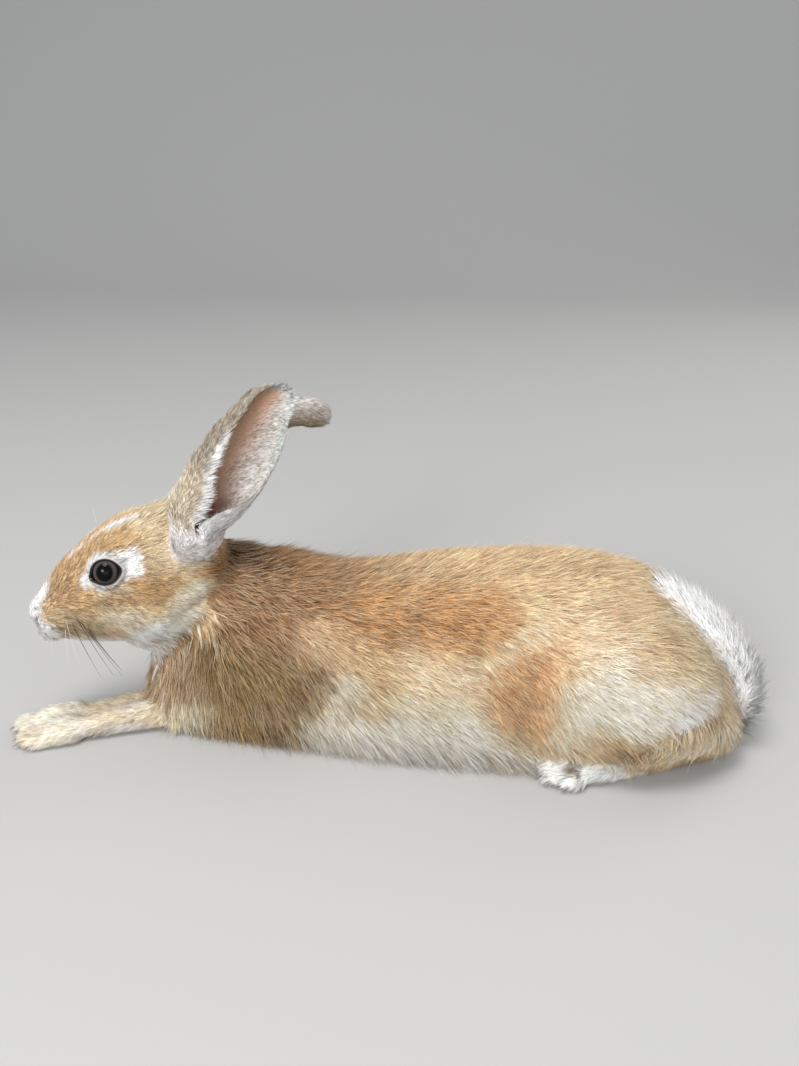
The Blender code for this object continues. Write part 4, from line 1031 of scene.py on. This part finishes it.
def unwrapped(mine):
    """Where each lock's root lies on the skin peeled flat: along the part and round it, from 0 to 1."""
    at, names = roots[mine], lock_part[mine]
    own_head = in_head(at)
    on_ear, on_head = lock_on_ear[mine], in_group(names, "head", "ear_")
    u, v = chart(at[:, 0], -0.13, 0.17), round_share(at[:, 1], at[:, 2] - TRUNK_MIDDLE)
    u = np.where(on_head, chart(own_head[:, 0], -0.085, 0.025), u)
    v = np.where(on_head, round_share(own_head[:, 1], own_head[:, 2] - HEAD_MIDDLE), v)
    # Limbs: each in a strip of its own, ahead and behind, left and right
    behind = at[:, 0] > 0
    limb_side = at[:, 1] > np.where(behind, 0, on_line(at[:, 0], FORE_PARTING))
    hind_y, fore_y = on_line(at[:, 0], HIND_LINE), on_line(at[:, 0], FORE_LINE)
    axis_y = np.where(behind, np.where(limb_side, -1, 1) * hind_y, fore_y)
    limb_v = round_share(at[:, 1] - axis_y, at[:, 2] - LIMB_MIDDLE)
    limb_v = 0.5 * behind + 0.25 * limb_side + 0.25 * limb_v
    limb_u = np.where(behind, chart(at[:, 0], 0.05, 0.17), chart(at[:, 0], -0.20, -0.10))
    on_limb = in_group(names, "hind_foot", "forearm", "forepaw")
    u, v = np.where(on_limb, limb_u, u), np.where(on_limb, limb_v, v)
    # Ears: four fields, by ear and face; tail: two, by face
    tags = lock_ear[mine]
    u = np.where(on_ear, 0.5 * (tags[:, 0] > 0) + 0.5 * chart(tags[:, 1], 0, 1), u)
    v = np.where(on_ear, 0.5 * (tags[:, 3] > 0) + 0.5 * chart(tags[:, 2], -1, 1), v)
    outer, on_tail = (up[mine] * (0.8, 0, 0.6)).sum(1) > 0, in_group(names, "tail")
    u = np.where(on_tail, 0.5 * outer + 0.5 * chart(at[:, 1], -0.022, 0.022), u)
    v = np.where(on_tail, chart(at[:, 2] - 0.5 * at[:, 0], -0.09, 0.04), v)
    return np.stack([u, v], 1).clip(0.004, 0.996)


def mark(mesh, hues):
    """Stores a colour at each point of the mesh, for coat_colour_group to read."""
    tints = mesh.color_attributes.new("markings_and_shade", "FLOAT_COLOR", "POINT")
    tints.data.foreach_set("color", np.column_stack([hues, np.ones(len(hues))]).astype(np.float32).ravel())


ROOT_DEPTH = 0.35 * MM
LOCK_BOW = 0.10  # of its length, for a lock that bends


def lock_mesh(name, mine, steps):
    """One mesh of all the locks whose numbers are in mine: three-sided spikes, bent at steps - 1 places."""
    base, tip, normal = roots[mine], tips[mine], up[mine]
    length = np.linalg.norm(tip - base, axis=1)[:, None]
    ahead = (tip - base) / length
    side = unit(np.cross(normal, ahead))
    crown = np.cross(ahead, side)
    half = (lock_width[mine] * (0.62 if steps == 1 else 0.5))[:, None]
    verts, shade, hues, flat = [], [], [], []
    patch = unwrapped(mine)
    start = base - normal * ROOT_DEPTH
    for step in range(steps):
        t = step / steps
        middle = start + (tip - start) * t + normal * LOCK_BOW * length * math.sin(math.pi * t) * (steps > 1)
        size = half * (1 - 0.55 * t)
        for across_by, up_by in ((-1, 0), (1, 0), (0, 0.8)):
            verts.append(middle + side * size * across_by + crown * size * up_by)
            shade.append(normal * 0.75 + side * across_by * 0.5 + crown * up_by * 0.4 + ahead * 0.1)
            hues.append(root_hue[mine] + (tip_hue[mine] - root_hue[mine]) * t)
            flat.append(patch + np.array([across_by * (1 - t), 2 * t - 1 + 0.4 * up_by]) * BAKE_PATCH / 2)
    verts.append(tip)
    shade.append(normal * 0.9 + ahead * 0.35)
    hues.append(tip_hue[mine])
    flat.append(patch + np.array([0, 1]) * BAKE_PATCH / 2)
    each = len(verts)
    faces = []
    for step in range(steps - 1):
        for k in range(3):
            low, high = step * 3, step * 3 + 3
            n = (k + 1) % 3
            faces += [(low + k, low + n, high + n), (low + k, high + n, high + k)]
    last = (steps - 1) * 3
    faces += [(last + k, last + (k + 1) % 3, each - 1) for k in range(3)]
    every_vert = np.stack(verts, 1).reshape(-1, 3)
    every_vert[:, 2] = np.maximum(every_vert[:, 2], 0.1 * MM)
    every_face = (np.arange(len(mine))[:, None, None] * each + np.array(faces)[None]).reshape(-1, 3)
    mesh = bpy.data.meshes.new(name)
    mesh.vertices.add(len(every_vert))
    mesh.vertices.foreach_set("co", every_vert.astype(np.float32).ravel())
    mesh.loops.add(every_face.size)
    mesh.loops.foreach_set("vertex_index", every_face.astype(np.int32).ravel())
    mesh.polygons.add(len(every_face))
    mesh.polygons.foreach_set("loop_start", np.arange(0, every_face.size, 3, dtype=np.int32))
    mesh.update(calc_edges=True)
    mesh.polygons.foreach_set("use_smooth", np.ones(len(every_face), bool))
    uvs = mesh.uv_layers.new(name="OFBake")
    every_uv = np.stack(flat, 1).reshape(-1, 2).clip(0.001, 0.999)
    uvs.data.foreach_set("uv", every_uv[every_face.ravel()].astype(np.float32).ravel())
    mark(mesh, np.stack(hues, 1).reshape(-1, 3).clip(0, 1))
    mesh.normals_split_custom_set_from_vertices(unit(np.stack(shade, 1).reshape(-1, 3)).astype(np.float32))
    return new_object(name, mesh)


def new_node(tree, kind, values={}, joins={}, **settings):
    """A shader node, with its sockets set to values or joined to other nodes' sockets."""
    node = tree.nodes.new(kind)
    for name, value in settings.items():
        setattr(node, name, value)
    for socket, value in values.items():
        node.inputs[socket].default_value = value
    for socket, source in joins.items():
        tree.links.new(source, node.inputs[socket])
    return node


def new_finish(name, roughness, specular=0.5):
    """A material, its node tree and its shader."""
    finish = bpy.data.materials.new(name)
    finish.use_nodes = True
    shader = finish.node_tree.nodes["Principled BSDF"]
    shader.inputs["Roughness"].default_value = roughness
    shader.inputs["Specular IOR Level"].default_value = specular
    return finish, finish.node_tree, shader


def noise_on(tree, scale):
    """Noise fixed to the object."""
    place = new_node(tree, "ShaderNodeTexCoord")
    return new_node(tree, "ShaderNodeTexNoise", {"Scale": scale}, {"Vector": place.outputs["Object"]})


def coat_colour_group():
    """Markings, with the painted shade that they carry, with fine ticking laid over them, and a bump of hair
    for the skin between the locks.
    """
    group = bpy.data.node_groups.new("coat_colour", "ShaderNodeTree")
    for socket, way, kind in (("Ticking", "INPUT", "Float"), ("Grain", "INPUT", "Float"),
                              ("Colour", "OUTPUT", "Color"), ("Height", "OUTPUT", "Float")):
        group.interface.new_socket(socket, in_out=way, socket_type="NodeSocket" + kind)
    given = new_node(group, "NodeGroupInput").outputs
    noise = noise_on(group, 1)
    noise.inputs["Detail"].default_value = 3
    group.links.new(given["Grain"], noise.inputs["Scale"])
    centred = new_node(group, "ShaderNodeMath", {1: 0.5}, {0: noise.outputs["Fac"]}, operation="SUBTRACT")
    amount = new_node(group, "ShaderNodeMath", {2: 1.0}, {0: centred.outputs[0], 1: given["Ticking"]},
                      operation="MULTIPLY_ADD")
    markings_and_shade = new_node(group, "ShaderNodeAttribute", attribute_name="markings_and_shade")
    scaled = new_node(group, "ShaderNodeVectorMath", {},
                      {0: markings_and_shade.outputs["Color"], "Scale": amount.outputs[0]}, operation="SCALE")
    new_node(group, "NodeGroupOutput", {}, {"Colour": scaled.outputs[0], "Height": noise.outputs["Fac"]})
    return group


coat_colour = coat_colour_group()


def furred(name, ticking, grain, roughness, bump=0.0):
    finish, tree, shader = new_finish(name, roughness, specular=0.12)
    colour = new_node(tree, "ShaderNodeGroup", node_tree=coat_colour)
    colour.inputs["Ticking"].default_value = ticking
    colour.inputs["Grain"].default_value = grain
    tree.links.new(colour.outputs["Colour"], shader.inputs["Base Color"])
    if bump:
        relief = new_node(tree, "ShaderNodeBump", {"Strength": bump, "Distance": 0.4 * MM},
                          {"Height": colour.outputs["Height"]})
        tree.links.new(relief.outputs["Normal"], shader.inputs["Normal"])
    return finish


# The skin under the locks is painted darker by this factor, as painted shade of the coat over it; inside the
# ears the skin keeps its colour
UNDER_COAT_PAINTED_SHADE = 0.66
coat_hair = furred("coat_hair", 0.5, 240, 0.62)
skin_finish = furred("hide", 0.45, 900, 0.75, bump=0.5)
mark(skin.data, colours * np.where(inner[:, None], 1.0, UNDER_COAT_PAINTED_SHADE))
skin.data.materials.clear()
skin.data.materials.append(skin_finish)
skin.data.shade_smooth()
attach(skin, "root")
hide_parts(*flesh_nodes)

right = roots[:, 1] > 0
own_right = in_head(roots)[:, 1] > 0
on_head = in_group(lock_part, "head", "ear_") & ~lock_on_ear
on_front, on_haunch = in_group(lock_part, "neck", "shoulder", "chest"), in_group(lock_part, "rump", "haunch")
# Which locks each piece takes, how many steps they bend in, and its slot
COAT_PIECES = {
    "coat_head_left": (on_head & ~own_right, 1, "coat_fawn"),
    "coat_head_right": (on_head & own_right, 1, "coat_fawn"),
    "coat_front_left": (on_front & ~right, 1, "coat_fawn"),
    "coat_front_right": (on_front & right, 1, "coat_fawn"),
    "coat_loin": (in_group(lock_part, "loin"), 1, "coat_fawn"),
    "coat_haunch_left": (on_haunch & ~right, 1, "coat_fawn"),
    "coat_haunch_right": (on_haunch & right, 1, "coat_fawn"),
    "coat_legs": (in_group(lock_part, "hind_foot", "forearm", "forepaw"), 1, "coat_cream"),
    "coat_ears": (lock_on_ear, 1, "ear_coat"),
    "coat_tail": (in_group(lock_part, "tail"), 2, "coat_white"),
}
for name, (mine, steps, slot) in COAT_PIECES.items():
    piece = lock_mesh(name, np.flatnonzero(mine), steps)
    piece.data.materials.append(coat_hair)
    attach(piece, "root")


# ------------------------------------------------------------
# The eyes: glossy balls with a dark brown iris and a wide black pupil, set deep under the lids. Each is one
# ball, with its cornea standing a little proud.

CORNEA_RISE, CORNEA_EDGE = 0.55 * MM, math.radians(44)
PUPIL_FLAT = 0.9  # its width over its height
eye_finish, tree, shader = new_finish("eye_glaze", 0.04, specular=0.10)
place = new_node(tree, "ShaderNodeTexCoord")
flattened = new_node(tree, "ShaderNodeVectorMath", {1: (1 / EYE_RADIUS, PUPIL_FLAT / EYE_RADIUS, 0)},
                     {0: place.outputs["Object"]}, operation="MULTIPLY")
from_axis = new_node(tree, "ShaderNodeVectorMath", {}, {0: flattened.outputs["Vector"]}, operation="LENGTH")
rings = new_node(tree, "ShaderNodeValToRGB", {}, {"Fac": from_axis.outputs["Value"]})
stops = rings.color_ramp.elements
stops[0].color, stops[1].color = (0.0015, 0.0015, 0.002, 1), (0.006, 0.005, 0.005, 1)
for position, colour in ((0.42, (0.002, 0.002, 0.002)), (0.455, (0.040, 0.033, 0.032)),
                         (0.57, (0.085, 0.070, 0.067)), (0.63, (0.040, 0.033, 0.032)),
                         (0.68, (0.004, 0.003, 0.003))):
    stops.new(position).color = (*colour, 1)
streaks = noise_on(tree, 1400)
streaked = new_node(tree, "ShaderNodeMix", data_type="RGBA", blend_type="MULTIPLY")
streaked.inputs["Factor"].default_value = 0.5
tree.links.new(rings.outputs["Color"], streaked.inputs["A"])
tree.links.new(streaks.outputs["Color"], streaked.inputs["B"])
tree.links.new(streaked.outputs["Result"], shader.inputs["Base Color"])

for name, side in (("eye_left", -1), ("eye_right", 1)):
    bm = bmesh.new()
    bmesh.ops.create_uvsphere(bm, u_segments=64, v_segments=48, radius=EYE_RADIUS)
    for vertex in bm.verts:
        polar = vertex.co.angle(Vector((0, 0, 1)))
        bulge = max(0.0, math.cos(min(polar / CORNEA_EDGE, 1) * math.pi / 2))
        vertex.co += vertex.co.normalized() * CORNEA_RISE * bulge
    mesh = bpy.data.meshes.new(name + "_ball")
    bm.to_mesh(mesh)
    bm.free()
    mesh.shade_smooth()
    mesh.materials.append(eye_finish)
    eye = new_object(name + "_ball", mesh)
    axis = HEAD.to_3x3() @ Vector((EYE_AXIS[0], -EYE_AXIS[1] * side, EYE_AXIS[2]))
    eye.rotation_euler = axis.to_track_quat("Z", "Y").to_euler()
    eye.location = left_eye if side < 0 else right_eye
    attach(eye, "root")
    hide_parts(name)


# ------------------------------------------------------------
# The claws: short curved horn, nearly hidden in the hair of the toes. Each foot's four, rounded from their
# solids, are one piece that stands in the end of the toes.

def grain_group():
    """Soft spots fixed to the object, as a share from 0 to 1."""
    group = bpy.data.node_groups.new("grain", "ShaderNodeTree")
    group.interface.new_socket("Scale", in_out="INPUT", socket_type="NodeSocketFloat")
    group.interface.new_socket("Share", in_out="OUTPUT", socket_type="NodeSocketFloat")
    noise = noise_on(group, 1)
    group.links.new(new_node(group, "NodeGroupInput").outputs["Scale"], noise.inputs["Scale"])
    new_node(group, "NodeGroupOutput", {}, {"Share": noise.outputs["Fac"]})
    return group


grain = grain_group()


def grained(name, roughness, specular, scale, tones):
    """A material that varies between two (place on the ramp, colour)."""
    finish, tree, shader = new_finish(name, roughness, specular)
    spots = new_node(tree, "ShaderNodeGroup", node_tree=grain)
    spots.inputs["Scale"].default_value = scale
    shades = new_node(tree, "ShaderNodeValToRGB", {}, {"Fac": spots.outputs["Share"]})
    for stop, (position, colour) in zip(shades.color_ramp.elements, tones):
        stop.position, stop.color = position, (*colour, 1)
    tree.links.new(shades.outputs["Color"], shader.inputs["Base Color"])
    return finish


horn = grained("horn", 0.35, 0.5, 700, ((0.3, (0.16, 0.12, 0.09)), (0.7, (0.34, 0.28, 0.22))))
for foot in ("forepaw_left", "forepaw_right", "hind_foot_left", "hind_foot_right"):
    claw_names = [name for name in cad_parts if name.startswith(foot + "_claw")]
    claws = object_from(foot + "_claws", *joined([welded_solid(name) for name in claw_names], 0))
    rounding = claws.modifiers.new("rounded", "SUBSURF")
    rounding.levels = rounding.render_levels = 2
    applied(claws)
    claws.data.shade_smooth()
    claws.data.materials.append(horn)
    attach(claws, "root")
    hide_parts(*claw_names)


# ------------------------------------------------------------
# The whiskers: stiff tapering hairs set in the pads of the upper lip and over the eyes, nine on each side.
# The dark ones are one piece, and the pale ones, which are thinner, are another.

# For the left side, in the head's frame and mm: root, direction, length, and whether it is dark
WHISKERS = [
    ((-60, -16.4, 70), (0.45, -0.55, -1), 30, True), ((-58, -16.5, 67), (0.55, -0.45, -1), 29, True),
    ((-56, -16.2, 64.5), (0.55, -0.3, -1), 25, True), ((-62, -15.6, 66), (0.35, -0.6, -1), 26, True),
    ((-55, -15.5, 61), (0.55, -0.2, -1), 20, True),
    ((-65, -14.0, 68), (0.1, -0.9, -0.6), 22, False), ((-66, -13.5, 64), (-0.1, -0.6, -0.8), 16, False),
    ((-72, -10.5, 62), (-0.3, -0.5, -1), 11, False), ((-46, -15.5, 105), (-0.2, -0.7, 0.8), 12, False),
]
WHISKER_SIDES, WHISKER_STEPS, WHISKER_RADIUS = 5, 10, 0.19 * MM
WHISKER_SAG = 0.10  # of its length, down and back


def whisker_mesh(name, dark):
    points, faces = [], []
    for root, direction, length, is_dark in WHISKERS:
        if is_dark != dark:
            continue
        for side in (1, -1):
            start = np.array(root, float) * (1, side, 1) * MM
            ahead = Vector(direction).normalized()
            ahead.y *= side
            across = ahead.orthogonal().normalized()
            first = len(points)
            for step in range(WHISKER_STEPS + 1):
                t = step / WHISKER_STEPS
                middle = start + np.array(ahead) * length * MM * (t - 0.06)
                middle += np.array((1, 0, -1)) * WHISKER_SAG * length * MM * t * t
                radius = WHISKER_RADIUS * (1 if dark else 0.6) * (1 - 0.8 * t)
                points += list(middle + circle(ahead, across, WHISKER_SIDES) * radius)
            faces += [tuple(first + k for k in face) for face in ring_faces(WHISKER_STEPS + 1, WHISKER_SIDES)]
    return outward(object_from(name, out_of_head(np.array(points)), faces))


for name, dark, tones in (("whiskers_dark", True, ((0, (0.012, 0.009, 0.008)), (1, (0.06, 0.045, 0.035)))),
                          ("whiskers_pale", False, ((0, (0.45, 0.40, 0.34)), (1, (0.80, 0.77, 0.72))))):
    whiskers = whisker_mesh(name, dark)
    whiskers.data.materials.append(grained(name, 0.6, 0.2, 150, tones))
    whiskers.data.shade_smooth()
    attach(whiskers, "root")


# ------------------------------------------------------------
# The floor, the lights and the camera: a plain pale studio with a curved back wall, lit by soft lamps, and
# seen from the animal's left and a little above.

FLOOR_HALF_WIDTH, FLOOR_FRONT, SWEEP_START, SWEEP_RADIUS, SWEEP_TOP = 6.0, -6.0, 1.4, 1.3, 5.0
sweep = [(FLOOR_FRONT, 0), (SWEEP_START, 0)]
sweep += [(SWEEP_START + SWEEP_RADIUS * math.sin(turn), SWEEP_RADIUS * (1 - math.cos(turn)))
          for turn in np.linspace(0, math.pi / 2, 25)[1:]]
sweep.append((SWEEP_START + SWEEP_RADIUS, SWEEP_TOP))
floor = object_from("floor", [(side * FLOOR_HALF_WIDTH, y, z) for y, z in sweep for side in (-1, 1)],
                    [(2 * k, 2 * k + 1, 2 * k + 3, 2 * k + 2) for k in range(len(sweep) - 1)])
floor.data.shade_smooth()
floor_finish, _, floor_shader = new_finish("pale_floor", 0.9)
floor_shader.inputs["Base Color"].default_value = (0.40, 0.395, 0.385, 1)
floor.data.materials.append(floor_finish)

CAMERA_PLACE = Vector((0.0467, -0.4443, 0.2839))
CAMERA_YAW, CAMERA_DIP = math.radians(6), math.radians(22)
FRAME_OVER_FOCAL = 1.066  # height of the frame for a focal length of 1

camera_data = bpy.data.cameras.new("camera")
camera = new_object("camera", camera_data)
camera_data.sensor_fit = "VERTICAL"
camera_data.sensor_height = 36
camera_data.lens = camera_data.sensor_height / FRAME_OVER_FOCAL
camera_data.clip_start = 0.01
camera.location = CAMERA_PLACE
camera.rotation_euler = (math.radians(90) - CAMERA_DIP, 0, CAMERA_YAW)
bpy.context.scene.camera = camera


def soft_light(name, place, aim, size, power, colour):
    data = bpy.data.lights.new(name, "AREA")
    data.shape = "DISK"
    data.size = size
    data.energy = power
    data.color = colour
    lamp = new_object(name, data)
    lamp.location = place
    lamp.rotation_euler = (Vector(aim) - Vector(place)).to_track_quat("-Z", "Y").to_euler()


soft_light("overhead", (-0.2, -0.5, 1.5), (0, 0, 0.05), 0.7, 16, (1.0, 0.985, 0.96))
soft_light("front", (-0.5, -1.5, 0.8), (-0.02, 0, 0.06), 0.6, 17, (0.98, 0.99, 1.0))
soft_light("low", (0.1, -1.5, 0.22), (0.05, 0, 0.03), 1.2, 6, (1.0, 0.97, 0.93))
soft_light("rear", (0.9, 0.9, 0.9), (0.05, 0, 0.05), 0.9, 5, (1.0, 0.98, 0.95))

world = bpy.data.worlds.new("studio")
world.use_nodes = True
background = world.node_tree.nodes["Background"]
background.inputs["Color"].default_value = (0.93, 0.96, 1.0, 1)
background.inputs["Strength"].default_value = 0.8
bpy.context.scene.world = world
bpy.context.scene.view_settings.view_transform = "Standard"
